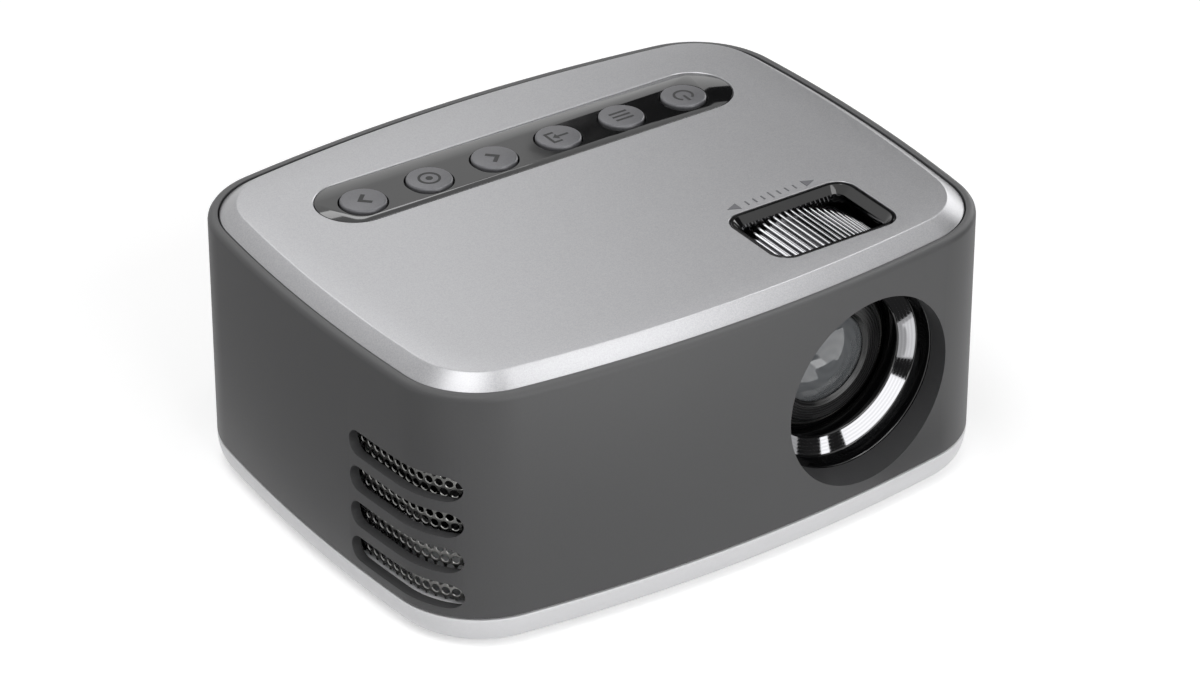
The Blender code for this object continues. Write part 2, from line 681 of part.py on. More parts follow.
def recess_tube():
    """The tube behind the recess, trimmed to end inside the front wall."""
    profile = [(0, BODY_DEPTH / 2 + OVERRUN), (TUBE_RADIUS, BODY_DEPTH / 2 + OVERRUN),
               (TUBE_RADIUS, TUBE_REAR), (0, TUBE_REAR)]
    tube = turned("recess_tube", profile, at=LENS_AXIS, turn=FORWARD)
    heights = ((WALL / 2, SHELL_BOTTOM), (WALL / 2, RIM_TOP - RIM_FILLET))
    inside = from_bmesh("recess_tube_limit", loft(body_loops(heights)))
    return join(tube, inside, 'INTERSECT')


def vent_ends():
    """Where the corner vents start on the left wall and where they end round the corner."""
    corner = corner_centre()
    return VENT_RUN - corner.y, -corner.y - CORNER_RADIUS * sin(VENT_TURN)


def vent_cutters():
    """The slots that wrap the front left corner."""
    slots = []
    rear_y, front_y = vent_ends()
    length = rear_y - front_y
    middle = (rear_y + front_y) / 2
    outer = -BODY_WIDTH / 2 - OVERRUN
    inner = -side_wall_x(0, WALL + POST_SET_IN) + CORNER_RADIUS / 2
    for index in range(VENT_COUNT):
        height = VENT_LOWEST + index * VENT_PITCH
        outline = stadium(length, VENT_HEIGHT)
        loops = [[(x, middle + y, height + z) for y, z in outline] for x in (outer, inner)]
        slots.append(from_bmesh(f"vent_cutter_{index + 1}", loft(loops)))
    return slots


def rear_vent_cutters():
    """The air inlet slots behind the heatsink."""
    slots = []
    near = BODY_DEPTH / 2 - WALL - POST_SET_IN - POST_RADIUS
    for index in range(REAR_VENT_COUNT):
        height = VENT_LOWEST + (index + 1) * VENT_PITCH
        outline = stadium(REAR_VENT_LENGTH, VENT_HEIGHT)
        loops = [[(REAR_VENT_X + x, y, height + z) for x, z in outline]
                 for y in (near, BODY_DEPTH / 2 + OVERRUN)]
        slots.append(from_bmesh(f"rear_vent_cutter_{index + 1}", loft(loops)))
    return slots


def socket_cutter(name, middle, width, height):
    """The opening in the rear wall in front of one socket."""
    low = (middle - width / 2 - SOCKET_PLAY, SOCKET_FACE_Y - SOCKET_CUT_DEPTH, SOCKET_BOTTOM - GAP)
    high = (middle + width / 2 + SOCKET_PLAY, BODY_DEPTH / 2 + OVERRUN,
            SOCKET_BOTTOM + height + SOCKET_PLAY)
    return box(f"{name}_cutter", low, high)


def make_side_shell():
    """The dark band round the case, with its ledge, screw posts, recess and openings."""
    ledge_inset = WALL + LEDGE_REACH
    ledge_bottom = LEDGE_TOP - LEDGE_THICK
    fillet = [(RIM_FILLET - x, RIM_TOP - RIM_FILLET + y)
              for x, y in arc((0, 0), RIM_FILLET, 0, pi / 2, RIM_FILLET_STEPS)]
    profile = [(0, SHELL_BOTTOM)] + fillet + [
        (WALL, RIM_TOP), (WALL, LEDGE_TOP), (ledge_inset, LEDGE_TOP),
        (ledge_inset, ledge_bottom), (WALL, ledge_bottom - LEDGE_REACH), (WALL, SHELL_BOTTOM)]
    shell = from_bmesh("side_shell", loft(body_loops(profile), closed=True), DARK_GREY_PLASTIC)
    post_top = LEDGE_TOP - POST_BELOW_LEDGE
    posts = rods("shell_posts", POST_RADIUS, LIP_TOP + GAP, post_top, case_post_places())
    join(shell, posts, 'UNION')
    join(shell, recess_tube(), 'UNION')
    join(shell, recess_cutter())
    screw_tip = TRAY_BOTTOM + SCREW_RECESS + SCREW_LENGTH + OVERRUN
    holes = rods("shell_screw_holes", SCREW_RADIUS + GAP, LIP_TOP - OVERRUN, screw_tip,
                 case_post_places())
    join(shell, holes)
    for cutter in vent_cutters() + rear_vent_cutters():
        join(shell, cutter)
    for name, middle, width, height, _ in sockets():
        join(shell, socket_cutter(name, middle, width, height))
    return shell


def make_bottom_tray():
    """The pale tray: curved edge, lip, speaker holes and everything that stands in it."""
    edge = [(TRAY_TUCK * (1 - cos(a)), TRAY_BOTTOM + TRAY_HEIGHT * (1 - sin(a)))
            for a in [pi / 2 * (1 - step / ARC_STEPS) for step in range(ARC_STEPS + 1)]]
    lip_inset = WALL + GAP
    lip_inner = lip_inset + TRAY_WALL
    profile = edge + [(lip_inset, JOINT_Z), (lip_inset, LIP_TOP), (lip_inner, LIP_TOP),
                      (lip_inner + TRAY_TUCK / 2, TRAY_FLOOR_TOP)]
    tray = from_bmesh("bottom_tray", loft(body_loops(profile)), PALE_PLASTIC)

    posts = case_post_places()
    sleeves = rods("tray_sleeves", POST_RADIUS, TRAY_BOTTOM + TRAY_FLOOR / 2, LIP_TOP, posts)
    middle_inset = lip_inset + TRAY_WALL / 2
    heights = ((middle_inset, TRAY_BOTTOM), (middle_inset, LIP_TOP + OVERRUN))
    join(sleeves, from_bmesh("tray_sleeve_limit", loft(body_loops(heights))), 'INTERSECT')
    join(tray, sleeves, 'UNION')
    pegs = board_peg_places()
    join(tray, rods("board_pegs", BOARD_PEG_RADIUS, TRAY_BOTTOM + TRAY_FLOOR / 2,
                    BOARD_BOTTOM - GAP, pegs), 'UNION')
    join(tray, rods("engine_legs", ENGINE_LEG_RADIUS, TRAY_BOTTOM + TRAY_FLOOR / 2,
                    ENGINE_BOTTOM_Z - GAP, engine_leg_places()), 'UNION')
    nut_top = TRAY_BOTTOM + NUT_LENGTH + GAP
    join(tray, rods("nut_boss", NUT_RADIUS + GAP + NUT_WALL, TRAY_BOTTOM + TRAY_FLOOR / 2,
                    nut_top + TRAY_FLOOR, [(0, NUT_Y)], steps=ROUND_STEPS), 'UNION')
    join(tray, fan_cradle(), 'UNION')

    join(tray, rods("nut_hole", NUT_RADIUS + GAP, TRAY_BOTTOM - OVERRUN, nut_top,
                    [(0, NUT_Y)], steps=ROUND_STEPS))
    join(tray, rods("tray_screw_holes", SCREW_RADIUS + GAP, TRAY_BOTTOM, LIP_TOP + OVERRUN, posts))
    head_top = TRAY_BOTTOM + SCREW_RECESS + SCREW_HEAD_THICK + GAP
    join(tray, rods("tray_screw_heads", SCREW_HEAD_RADIUS + GAP, TRAY_BOTTOM - OVERRUN,
                    head_top, posts))
    join(tray, rods("foot_seats", FOOT_RADIUS + GAP, TRAY_BOTTOM - OVERRUN,
                    TRAY_BOTTOM + FOOT_SINK, foot_places(), steps=ROUND_STEPS))
    ring = [(SPEAKER_X + SPEAKER_HOLE_RING * cos(a), SPEAKER_Y + SPEAKER_HOLE_RING * sin(a))
            for a in [2 * pi * index / SPEAKER_HOLE_COUNT for index in range(SPEAKER_HOLE_COUNT)]]
    join(tray, rods("speaker_holes", SPEAKER_HOLE_RADIUS, TRAY_BOTTOM - OVERRUN,
                    TRAY_FLOOR_TOP + OVERRUN, ring + [(SPEAKER_X, SPEAKER_Y)], steps=SMALL_STEPS // 2))
    profile = [(0, BODY_DEPTH / 2 + OVERRUN), (TUBE_RADIUS + GAP, BODY_DEPTH / 2 + OVERRUN),
               (TUBE_RADIUS + GAP, TUBE_REAR - GAP), (0, TUBE_REAR - GAP)]
    join(tray, turned("lip_notch_front", profile, at=LENS_AXIS, turn=FORWARD))
    places = sockets()
    left = min(x - width / 2 for _, x, width, _, _ in places) - OVERRUN
    right = max(x + width / 2 for _, x, width, _, _ in places) + OVERRUN
    near = BOARD_REAR_Y - BOARD_PEG_SET_IN
    join(tray, box("lip_notch_rear", (left, near, JOINT_Z), (right, BODY_DEPTH / 2, LIP_TOP + OVERRUN)))
    return tray


def board_peg_places():
    """Middles of the pegs that carry the main board, near its corners."""
    return [(x, y) for x in (BOARD_LEFT_X + BOARD_PEG_SET_IN, BOARD_RIGHT_X - BOARD_PEG_SET_IN)
            for y in (BOARD_FRONT_Y + BOARD_PEG_SET_IN,
                      BOARD_REAR_Y - 2 * BOARD_PEG_SET_IN)]


def engine_leg_places():
    """Middles of the tray's legs under the light engine."""
    front = ENGINE_FRONT_Y + ENGINE_LEG_SET_IN
    return [(ENGINE_LEFT_X + ENGINE_LEG_SET_IN, front), (LENS_X + ENGINE_LEG_SET_IN, front),
            (0, CHANNEL_REAR_Y - ENGINE_LEG_SET_IN)]


def foot_places():
    """Middles of the feet."""
    return [(x, y) for x in (-FOOT_X, FOOT_X) for y in (-FOOT_Y, FOOT_Y)]


def fan_cradle():
    """A block with raised edges on the tray that holds the fan upright."""
    half = FAN_SIZE * CRADLE_SHARE / 2
    out = FAN_THICK / 2 + GAP + CRADLE_WALL
    bottom = TRAY_BOTTOM + TRAY_FLOOR / 2
    block = box("fan_cradle", (FAN_X - out, FAN_Y - half, bottom),
                (FAN_X + out, FAN_Y + half, FAN_BOTTOM + CRADLE_HOLD))
    seat = FAN_THICK / 2 + GAP
    pocket = box("fan_pocket", (FAN_X - seat, FAN_Y - half - OVERRUN, FAN_BOTTOM - GAP),
                 (FAN_X + seat, FAN_Y + half + OVERRUN, FAN_BOTTOM + CRADLE_HOLD + OVERRUN))
    return join(block, pocket)


def make_top_plate():
    """The silver cover: chamfered edge, key strip pocket, key holes and focus slot."""
    edge_z = PLATE_TOP - CHAMFER_DROP
    skirt = PLATE_INSET + SKIRT_WALL
    profile = [(skirt + CHAMFER_RUN, PLATE_UNDER), (skirt, SKIRT_BOTTOM + SKIRT_WALL / 2),
               (skirt, SKIRT_BOTTOM), (PLATE_INSET, SKIRT_BOTTOM), (PLATE_INSET, edge_z),
               (PLATE_INSET + CHAMFER_RUN, PLATE_TOP)]
    plate = from_bmesh("top_plate", loft(body_loops(profile)), SILVER_PAINT)
    outline = [(STRIP_X + x, STRIP_Y + y)
               for x, y in stadium(STRIP_SPAN + 2 * STRIP_RADIUS, 2 * STRIP_RADIUS)]
    join(plate, prism("strip_pocket", outline, STRIP_BOTTOM - GAP, PLATE_TOP + OVERRUN))
    board_pillars = rods("key_board_pillars", PILLAR_RADIUS, KEY_BOARD_TOP + GAP,
                         PLATE_UNDER + PLATE_THICK / 4, pillar_places())
    join(plate, board_pillars, 'UNION')
    holes = rods("key_holes", KEY_RADIUS + GAP, PLATE_UNDER - OVERRUN, STRIP_BOTTOM,
                 key_places(), steps=ROUND_STEPS)
    join(plate, holes)
    pilot = rods("pillar_holes", SMALL_SCREW_RADIUS + GAP, KEY_BOARD_TOP - OVERRUN,
                 PLATE_UNDER - GAP, pillar_places())
    join(plate, pilot)
    slot = rounded_rectangle((SLOT_X, SLOT_Y), SLOT_WIDTH, SLOT_DEPTH, SLOT_CORNER)
    join(plate, prism("focus_slot", slot, PLATE_UNDER - OVERRUN, PLATE_TOP + OVERRUN))
    return plate


def key_places():
    """Middles of the keys."""
    return [(x, KEY_Y) for x in spread(KEY_COUNT, KEY_PITCH, KEY_MIDDLE_X)]


def pillar_places():
    """Middles of the two pillars under the plate, each halfway between two keys."""
    reach = PILLAR_KEY_COUNT * KEY_PITCH
    return [(KEY_MIDDLE_X - reach, KEY_Y), (KEY_MIDDLE_X + reach, KEY_Y)]


def make_button_strip():
    """The glossy inlay that the keys come through."""
    radius = STRIP_RADIUS - GAP
    outline = [(STRIP_X + x, STRIP_Y + y) for x, y in stadium(STRIP_SPAN + 2 * radius, 2 * radius)]
    strip = prism("button_strip", outline, STRIP_BOTTOM, STRIP_TOP, PIANO_BLACK)
    holes = rods("strip_holes", KEY_RADIUS + GAP, STRIP_BOTTOM - OVERRUN, STRIP_TOP + OVERRUN,
                 key_places(), steps=ROUND_STEPS)
    return join(strip, holes)


def make_focus_bezel():
    """The sloping frame in the focus slot, with a flange under the plate."""
    top, bottom = PLATE_TOP - BEZEL_SINK, PLATE_TOP - BEZEL_SINK - BEZEL_HEIGHT
    flange_top = PLATE_UNDER - GAP
    flange_bottom = flange_top - BEZEL_FLANGE_THICK

    def ring(grow_x, grow_y, height):
        outline = rounded_rectangle((SLOT_X, SLOT_Y), SLOT_WIDTH + 2 * grow_x,
                                    SLOT_DEPTH + 2 * grow_y, SLOT_CORNER + min(grow_x, grow_y))
        return [(x, y, height) for x, y in outline]

    inner_x, inner_y = -GAP - BEZEL_RIM, -GAP - BEZEL_RIM
    deep_x, deep_y = inner_x - BEZEL_DRAFT_X, inner_y - BEZEL_DRAFT_Y
    loops = [ring(-GAP, -GAP, top), ring(-GAP, -GAP, flange_top),
             ring(BEZEL_FLANGE, BEZEL_FLANGE, flange_top),
             ring(BEZEL_FLANGE, BEZEL_FLANGE, flange_bottom),
             ring(inner_x, inner_y, flange_bottom), ring(deep_x, deep_y, bottom),
             ring(inner_x, inner_y, top)]
    return from_bmesh("focus_bezel", loft(loops, closed=True), PIANO_BLACK)


def make_trim_ring():
    """The glossy ring in the lens recess, with its funnel and sleeve."""
    profile = [(RECESS_RADIUS, TRIM_FRONT), (TUBE_RADIUS, TRIM_FRONT),
               (TUBE_RADIUS, TRIM_FRONT - TRIM_BODY),
               (TRIM_BORE + TRIM_SLEEVE_WALL, TRIM_FRONT - TRIM_BODY - TRIM_SLEEVE_WALL),
               (TRIM_BORE + TRIM_SLEEVE_WALL, TRIM_REAR), (TRIM_BORE, TRIM_REAR),
               (TRIM_BORE, TRIM_CONE_REAR), (TRIM_CONE_RADIUS, TRIM_CONE_FRONT)]
    return turned("lens_trim_ring", profile, PIANO_BLACK, at=LENS_AXIS, turn=FORWARD)


def make_vent_mesh():
    """The perforated steel sheet behind the corner vents."""
    low, high = LIP_TOP + GAP, VENT_LOWEST + VENT_COUNT * VENT_PITCH - GAP
    near, far = WALL + GAP, WALL + GAP + MESH_THICK
    profile = [(near, low), (near, high), (far, high), (far, low)]
    sheet = from_bmesh("vent_mesh", loft(body_loops(profile), closed=True), STEEL)
    corner = corner_centre()
    edge_x = -corner.x - CORNER_RADIUS / 3
    keep = box("vent_mesh_limit", (-BODY_WIDTH, -BODY_DEPTH, 0),
               (edge_x, vent_ends()[0] + MESH_MARGIN, RIM_TOP))
    join(sheet, keep, 'INTERSECT')
    return join(sheet, mesh_hole_cutter())


def mesh_hole_cutter():
    """Rows of small six-sided holes behind each vent, square to the sheet."""
    shape = bmesh.new()
    corner = corner_centre()
    middle_inset = WALL + GAP + MESH_THICK / 2
    radius = CORNER_RADIUS - middle_inset
    straight = VENT_RUN - MESH_HOLE_RADIUS * 2
    length = straight + radius * VENT_TURN
    row_pitch = VENT_HEIGHT / (MESH_ROW_COUNT + 1)
    for vent in range(VENT_COUNT):
        level = VENT_LOWEST + vent * VENT_PITCH
        for row, height in enumerate(spread(MESH_ROW_COUNT, row_pitch, level)):
            for column in range(MESH_COLUMN_COUNT):
                along = length * (column + row / 2 + 1 / 4) / MESH_COLUMN_COUNT
                if along < straight:
                    y = straight - corner.y - along
                    at, angle = Vector((-side_wall_x(y, middle_inset), y, height)), 0
                else:
                    angle = (along - straight) / radius
                    at = Vector((-corner.x - radius * cos(angle),
                                 -corner.y - radius * sin(angle), height))
                matrix = (Matrix.Translation(at) @ Matrix.Rotation(angle, 4, 'Z')
                          @ Matrix.Rotation(pi / 2, 4, 'Y'))
                bmesh.ops.create_cone(shape, cap_ends=True, segments=MESH_HOLE_STEPS,
                                      radius1=MESH_HOLE_RADIUS, radius2=MESH_HOLE_RADIUS,
                                      depth=MESH_CUT_DEPTH, matrix=matrix)
    return from_bmesh("mesh_holes", shape)


def make_feet():
    """Four rubber pads in shallow seats under the tray."""
    top = TRAY_BOTTOM + FOOT_SINK - GAP
    for index, (x, y) in enumerate(foot_places()):
        chamfer = FOOT_PROUD / 3
        profile = [(0, top), (FOOT_RADIUS, top), (FOOT_RADIUS, chamfer),
                   (FOOT_RADIUS - chamfer, 0), (0, 0)]
        turned(f"foot_{index + 1}", profile, BLACK_RUBBER, ROUND_STEPS, at=(x, y, 0))


def screw_profile(head, head_thick, shank, length):
    """A pan head at the bottom and a shank above it."""
    return [(0, length), (shank, length), (shank, head_thick), (head, head_thick),
            (head, head_thick / 3), (head * 4 / 5, 0), (0, 0)]


def make_case_screws():
    """Four screws that hold the tray to the posts of the shell."""
    bottom = TRAY_BOTTOM + SCREW_RECESS
    profile = screw_profile(SCREW_HEAD_RADIUS, SCREW_HEAD_THICK, SCREW_RADIUS, SCREW_LENGTH)
    half, arm = SCREW_CROSS_SPAN / 2, SCREW_CROSS / 2
    for index, (x, y) in enumerate(case_post_places()):
        screw = turned(f"case_screw_{index + 1}", profile, STEEL, SMALL_STEPS, at=(x, y, bottom))
        deep = bottom + SCREW_HEAD_THICK / 2
        for way, (across, along) in enumerate(((half, arm), (arm, half))):
            cross = box(f"screw_{index + 1}_cross_{way + 1}", (x - across, y - along, bottom - OVERRUN),
                        (x + across, y + along, deep))
            join(screw, cross)


def make_stand_nut():
    """The brass nut for a stand, in the middle of the tray."""
    top = TRAY_BOTTOM + NUT_LENGTH
    profile = [(NUT_BORE, top), (NUT_RADIUS, top), (NUT_RADIUS, TRAY_BOTTOM), (NUT_BORE, TRAY_BOTTOM)]
    turned("stand_nut", profile, BRASS, ROUND_STEPS, at=(0, NUT_Y, 0))


def make_focus_ring():
    """The ribbed wheel with its hub; the hub's slanted slots move the barrel."""
    points = []
    for index in range(RIB_COUNT):
        for step, radius in enumerate((WHEEL_RADIUS, WHEEL_RADIUS - RIB_DEPTH)):
            angle = 2 * pi * (index + step / 2) / RIB_COUNT
            points.append((radius * sin(angle), radius * cos(angle)))
    ring = prism("focus_ring", points, WHEEL_REAR, WHEEL_FRONT, MATTE_BLACK, at=LENS_AXIS, turn=FORWARD)
    web_front = WHEEL_REAR + WEB_THICK
    hollow = [(0, WHEEL_FRONT + OVERRUN), (DRUM_BORE, WHEEL_FRONT + OVERRUN), (DRUM_BORE, web_front),
              (HUB_RADIUS, web_front), (HUB_RADIUS, HUB_FRONT), (HUB_BORE, HUB_FRONT),
              (HUB_BORE, WHEEL_REAR - OVERRUN), (0, WHEEL_REAR - OVERRUN)]
    join(ring, turned("drum_hollow", hollow, at=LENS_AXIS, turn=FORWARD))
    return join(ring, slanted_slots())


def slanted_slots():
    """Cutters for the hub's slots, whose distance forward falls as they turn clockwise."""
    half = PIN_RADIUS + PIN_PLAY
    end = FOCUS_ANGLE + half / HUB_BORE
    rise = -FOCUS_TRAVEL / FOCUS_ANGLE
    inner, outer = HUB_BORE - OVERRUN, HUB_RADIUS + HUB_TO_RIM / 2
    shape = bmesh.new()
    for pin in range(PIN_COUNT):
        loops = []
        for step in range(SLANT_STEPS + 1):
            along = end * (2 * step / SLANT_STEPS - 1)
            middle = PIN_FORWARD + rise * along
            angle = 2 * pi * pin / PIN_COUNT + along
            across = Vector((sin(angle), cos(angle), 0))
            up = Vector((0, 0, 1))
            loops.append([across * inner + up * (middle - half), across * outer + up * (middle - half),
                          across * outer + up * (middle + half), across * inner + up * (middle + half)])
        loft(loops, shape=shape)
    return from_bmesh("slanted_slots", shape, at=LENS_AXIS, turn=FORWARD)


def make_lens_mount():
    """The fixed tube on the light engine that the ring turns on and the barrel slides in."""
    shoulder_rear = SHOULDER_FRONT - SHOULDER_THICK
    shoulder = MOUNT_RADIUS + SHOULDER_HEIGHT
    flange = MOUNT_RADIUS + MOUNT_FLANGE
    profile = [(MOUNT_BORE, MOUNT_FRONT), (MOUNT_RADIUS, MOUNT_FRONT), (MOUNT_RADIUS, SHOULDER_FRONT),
               (shoulder, SHOULDER_FRONT), (shoulder, shoulder_rear), (MOUNT_RADIUS, shoulder_rear),
               (MOUNT_RADIUS, MOUNT_FLANGE_FRONT), (flange, MOUNT_FLANGE_FRONT), (flange, MOUNT_REAR),
               (MOUNT_BORE, MOUNT_REAR)]
    mount = turned("lens_mount", profile, MATTE_BLACK, at=LENS_AXIS, turn=FORWARD)
    half = PIN_RADIUS + PIN_PLAY
    reach = half + FOCUS_TRAVEL
    shape = bmesh.new()
    for pin in range(PIN_COUNT):
        matrix = Matrix.Rotation(-2 * pi * pin / PIN_COUNT, 4, 'Z')
        low = Vector((-half, MOUNT_BORE - OVERRUN, PIN_FORWARD - reach))
        high = Vector((half, MOUNT_RADIUS + OVERRUN, PIN_FORWARD + reach))
        size = high - low
        bmesh.ops.create_cube(shape, size=1, matrix=matrix @ Matrix.Translation((low + high) / 2)
                              @ Matrix.Diagonal((*size, 1)))
    return join(mount, from_bmesh("straight_slots", shape, at=LENS_AXIS, turn=FORWARD))


def make_ring_retainer():
    """The ring at the mount's front end that keeps the focus ring on."""
    outer = HUB_BORE + RETAINER_HEIGHT
    profile = [(HUB_BORE, MOUNT_FRONT), (outer, MOUNT_FRONT), (outer, RETAINER_REAR),
               (HUB_BORE, RETAINER_REAR)]
    turned("ring_retainer", profile, STEEL, at=LENS_AXIS, turn=FORWARD)


def make_barrel(slider):
    """The sliding lens barrel with its stepped bore and three guide pins."""
    middle_seat = BARREL_FRONT - FRONT_SEAT_DEPTH
    throat_front = middle_seat - MIDDLE_SEAT_DEPTH
    rear_seat = BARREL_REAR + REAR_SEAT_DEPTH
    front_bore, middle_bore = FRONT_GLASS_RADIUS + GAP, MIDDLE_GLASS_RADIUS + GAP
    rear_bore = REAR_GLASS_RADIUS + GAP
    profile = [(front_bore, BARREL_FRONT), (BARREL_RADIUS, BARREL_FRONT), (BARREL_RADIUS, BARREL_REAR),
               (rear_bore, BARREL_REAR), (rear_bore, rear_seat), (THROAT_RADIUS, rear_seat),
               (THROAT_RADIUS, throat_front), (middle_bore, throat_front), (middle_bore, middle_seat),
               (front_bore, middle_seat)]
    barrel = turned("lens_barrel", profile, MATTE_BLACK, parent=slider)
    shape = bmesh.new()
    root = (BARREL_RADIUS + max(rear_bore, middle_bore)) / 2
    for pin in range(PIN_COUNT):
        matrix = (Matrix.Rotation(-2 * pi * pin / PIN_COUNT, 4, 'Z')
                  @ Matrix.Translation((0, (root + PIN_TIP) / 2, PIN_FORWARD))
                  @ Matrix.Rotation(pi / 2, 4, 'X'))
        bmesh.ops.create_cone(shape, cap_ends=True, segments=SMALL_STEPS, radius1=PIN_RADIUS,
                              radius2=PIN_RADIUS, depth=PIN_TIP - root, matrix=matrix)
    return join(barrel, from_bmesh("guide_pins", shape, parent=slider), 'UNION')


def dome(radius, base, bulge, steps=ARC_STEPS):
    """Points of a lens face from its middle to its edge; a bulge below zero is hollow."""
    sphere = (radius ** 2 + bulge ** 2) / (2 * abs(bulge))
    sign = 1 if bulge > 0 else -1
    points = []
    for step in range(steps + 1):
        r = radius * step / steps
        points.append((r, base + bulge - sign * (sphere - sqrt(sphere ** 2 - r ** 2))))
    return points


def lens(name, radius, base, edge, front_bulge, rear_bulge, look, **where):
    """A lens from its front face over its edge to its rear face."""
    front = dome(radius, base + edge, front_bulge)
    rear = [(r, 2 * base - height) for r, height in dome(radius, base, rear_bulge)]
    turned(name, front + list(reversed(rear)), look, ROUND_STEPS, **where)


def make_glass(slider):
    """Three lenses in the barrel and the ring that holds the front one."""
    front_base = BARREL_FRONT - FRONT_GLASS_EDGE - GAP
    lens("front_lens", FRONT_GLASS_RADIUS, front_base, FRONT_GLASS_EDGE, FRONT_GLASS_BULGE,
         -MIDDLE_GLASS_HOLLOW, CLEAR_GLASS, parent=slider)
    middle_base = BARREL_FRONT - FRONT_SEAT_DEPTH - MIDDLE_SEAT_DEPTH + GAP
    lens("middle_lens", MIDDLE_GLASS_RADIUS, middle_base, MIDDLE_GLASS_EDGE, -MIDDLE_GLASS_HOLLOW,
         -MIDDLE_GLASS_HOLLOW, CLEAR_GLASS, parent=slider)
    rear_base = BARREL_REAR + REAR_SEAT_DEPTH - REAR_GLASS_EDGE - GAP
    lens("rear_lens", REAR_GLASS_RADIUS, rear_base, REAR_GLASS_EDGE, -MIDDLE_GLASS_HOLLOW / 2,
         REAR_GLASS_BULGE / 2, CLEAR_GLASS, parent=slider)
    rear = BARREL_FRONT + GAP
    front = rear + LENS_RING_THICK
    profile = [(GLASS_WINDOW + RING_LIP, front), (LENS_RING_RADIUS, front), (LENS_RING_RADIUS, rear),
               (FRONT_GLASS_RADIUS, rear), (GLASS_WINDOW, rear + LENS_RING_THICK / 2)]
    turned("lens_retainer", profile, PIANO_BLACK, parent=slider)


def channel_outline(grow):
    """Plan of the light channel: a box whose rear right corner is cut off by the mirror."""
    cut = LENS_X + LIGHT_Y + sqrt(2) * (MIRROR_THICK + GAP + grow)
    front, rear = CHANNEL_FRONT_Y - grow, CHANNEL_REAR_Y + grow
    right = CHANNEL_RIGHT_X + grow
    return front, rear, right, cut


def make_engine_housing():
    """The open-topped light box with grooves, lens hole, lamp hole and standoffs."""
    front, rear, right, cut = channel_outline(ENGINE_WALL)
    outline = [(ENGINE_LEFT_X, front), (right, front), (right, cut - right), (cut - rear, rear),
               (ENGINE_LEFT_X, rear)]
    housing = prism("engine_housing", outline, ENGINE_BOTTOM_Z, CHANNEL_TOP_Z, MATTE_BLACK)
    front, rear, right, cut = channel_outline(0)
    outline = [(CONDENSER_X, front), (right, front), (right, cut - right), (cut - rear, rear),
               (CONDENSER_X, rear)]
    join(housing, prism("light_channel", outline, CHANNEL_FLOOR_Z, CHANNEL_TOP_Z + OVERRUN))
    grooves = []
    for x, thick in panel_places():
        grooves.append(((x - thick - GAP, front - GROOVE_DEPTH, CHANNEL_FLOOR_Z + GAP),
                        (x + GAP, rear + GROOVE_DEPTH, CHANNEL_TOP_Z + OVERRUN)))
    join(housing, boxes("panel_grooves", grooves))
    outer = -CHANNEL_FRONT_Y + ENGINE_WALL + OVERRUN
    inner = -CHANNEL_FRONT_Y - OVERRUN
    profile = [(0, outer), (MOUNT_BORE, outer), (MOUNT_BORE, inner), (0, inner)]
    join(housing, turned("lens_hole", profile, at=LENS_AXIS, turn=FORWARD, steps=ROUND_STEPS))
    hole = CONDENSER_RADIUS + GAP
    lamp = [(0, CONDENSER_X + OVERRUN), (hole, CONDENSER_X + OVERRUN),
            (hole, ENGINE_LEFT_X - OVERRUN), (0, ENGINE_LEFT_X - OVERRUN)]
    join(housing, turned("lamp_hole", lamp, at=(0, LIGHT_Y, LENS_Z), turn=TO_RIGHT, steps=ROUND_STEPS))
    shape = bmesh.new()
    for y, z in standoff_places():
        matrix = (Matrix.Translation(((SINK_BASE_X + GAP + ENGINE_LEFT_X + CONDENSER_EDGE / 2) / 2, y, z))
                  @ Matrix.Rotation(pi / 2, 4, 'Y'))
        bmesh.ops.create_cone(shape, cap_ends=True, segments=SMALL_STEPS, radius1=STANDOFF_RADIUS,
                              radius2=STANDOFF_RADIUS, matrix=matrix,
                              depth=ENGINE_LEFT_X + CONDENSER_EDGE / 2 - SINK_BASE_X - GAP)
    return join(housing, from_bmesh("sink_standoffs", shape), 'UNION')


def standoff_places():
    """Middles of the four standoffs that carry the heatsink."""
    reach = min(SINK_DEPTH, SINK_HEIGHT) / 2 - STANDOFF_SET_IN
    return [(LIGHT_Y + side * reach, LENS_Z + up * reach) for side in (-1, 1) for up in (-1, 1)]


def panel_places():
    """The right-hand face and the thickness of each flat panel in the light channel."""
    return [(FIELD_X, FRESNEL_THICK), (LCD_X, LCD_THICK), (COLLIMATOR_X, FRESNEL_THICK),
            (HEAT_GLASS_X, HEAT_GLASS_THICK)]


def make_engine_cover():
    """The lid on the light box."""
    front, rear, right, cut = channel_outline(ENGINE_WALL)
    outline = [(ENGINE_LEFT_X, front), (right, front), (right, cut - right), (cut - rear, rear),
               (ENGINE_LEFT_X, rear)]
    prism("engine_cover", outline, CHANNEL_TOP_Z + GAP, CHANNEL_TOP_Z + GAP + ENGINE_COVER, MATTE_BLACK)


def make_panels():
    """The flat panels in their grooves and the folding mirror."""
    names = ("field_fresnel", "lcd_panel", "collimating_fresnel", "heat_glass")
    looks = (CLEAR_ACRYLIC, LCD_FILM, CLEAR_ACRYLIC, CLEAR_GLASS)
    side = GROOVE_DEPTH - GAP
    for name, look, (x, thick) in zip(names, looks, panel_places()):
        box(name, (x - thick, CHANNEL_FRONT_Y - side, CHANNEL_FLOOR_Z + 2 * GAP),
            (x, CHANNEL_REAR_Y + side, CHANNEL_TOP_Z - GAP), look)
    half = MIRROR_RUN * sqrt(2) - MIRROR_THICK
    box("fold_mirror", (-half, 0, CHANNEL_FLOOR_Z + GAP), (half, MIRROR_THICK, CHANNEL_TOP_Z - GAP),
        MIRROR_SILVER, at=(LENS_X, LIGHT_Y, 0), turn=(0, 0, -pi / 4))


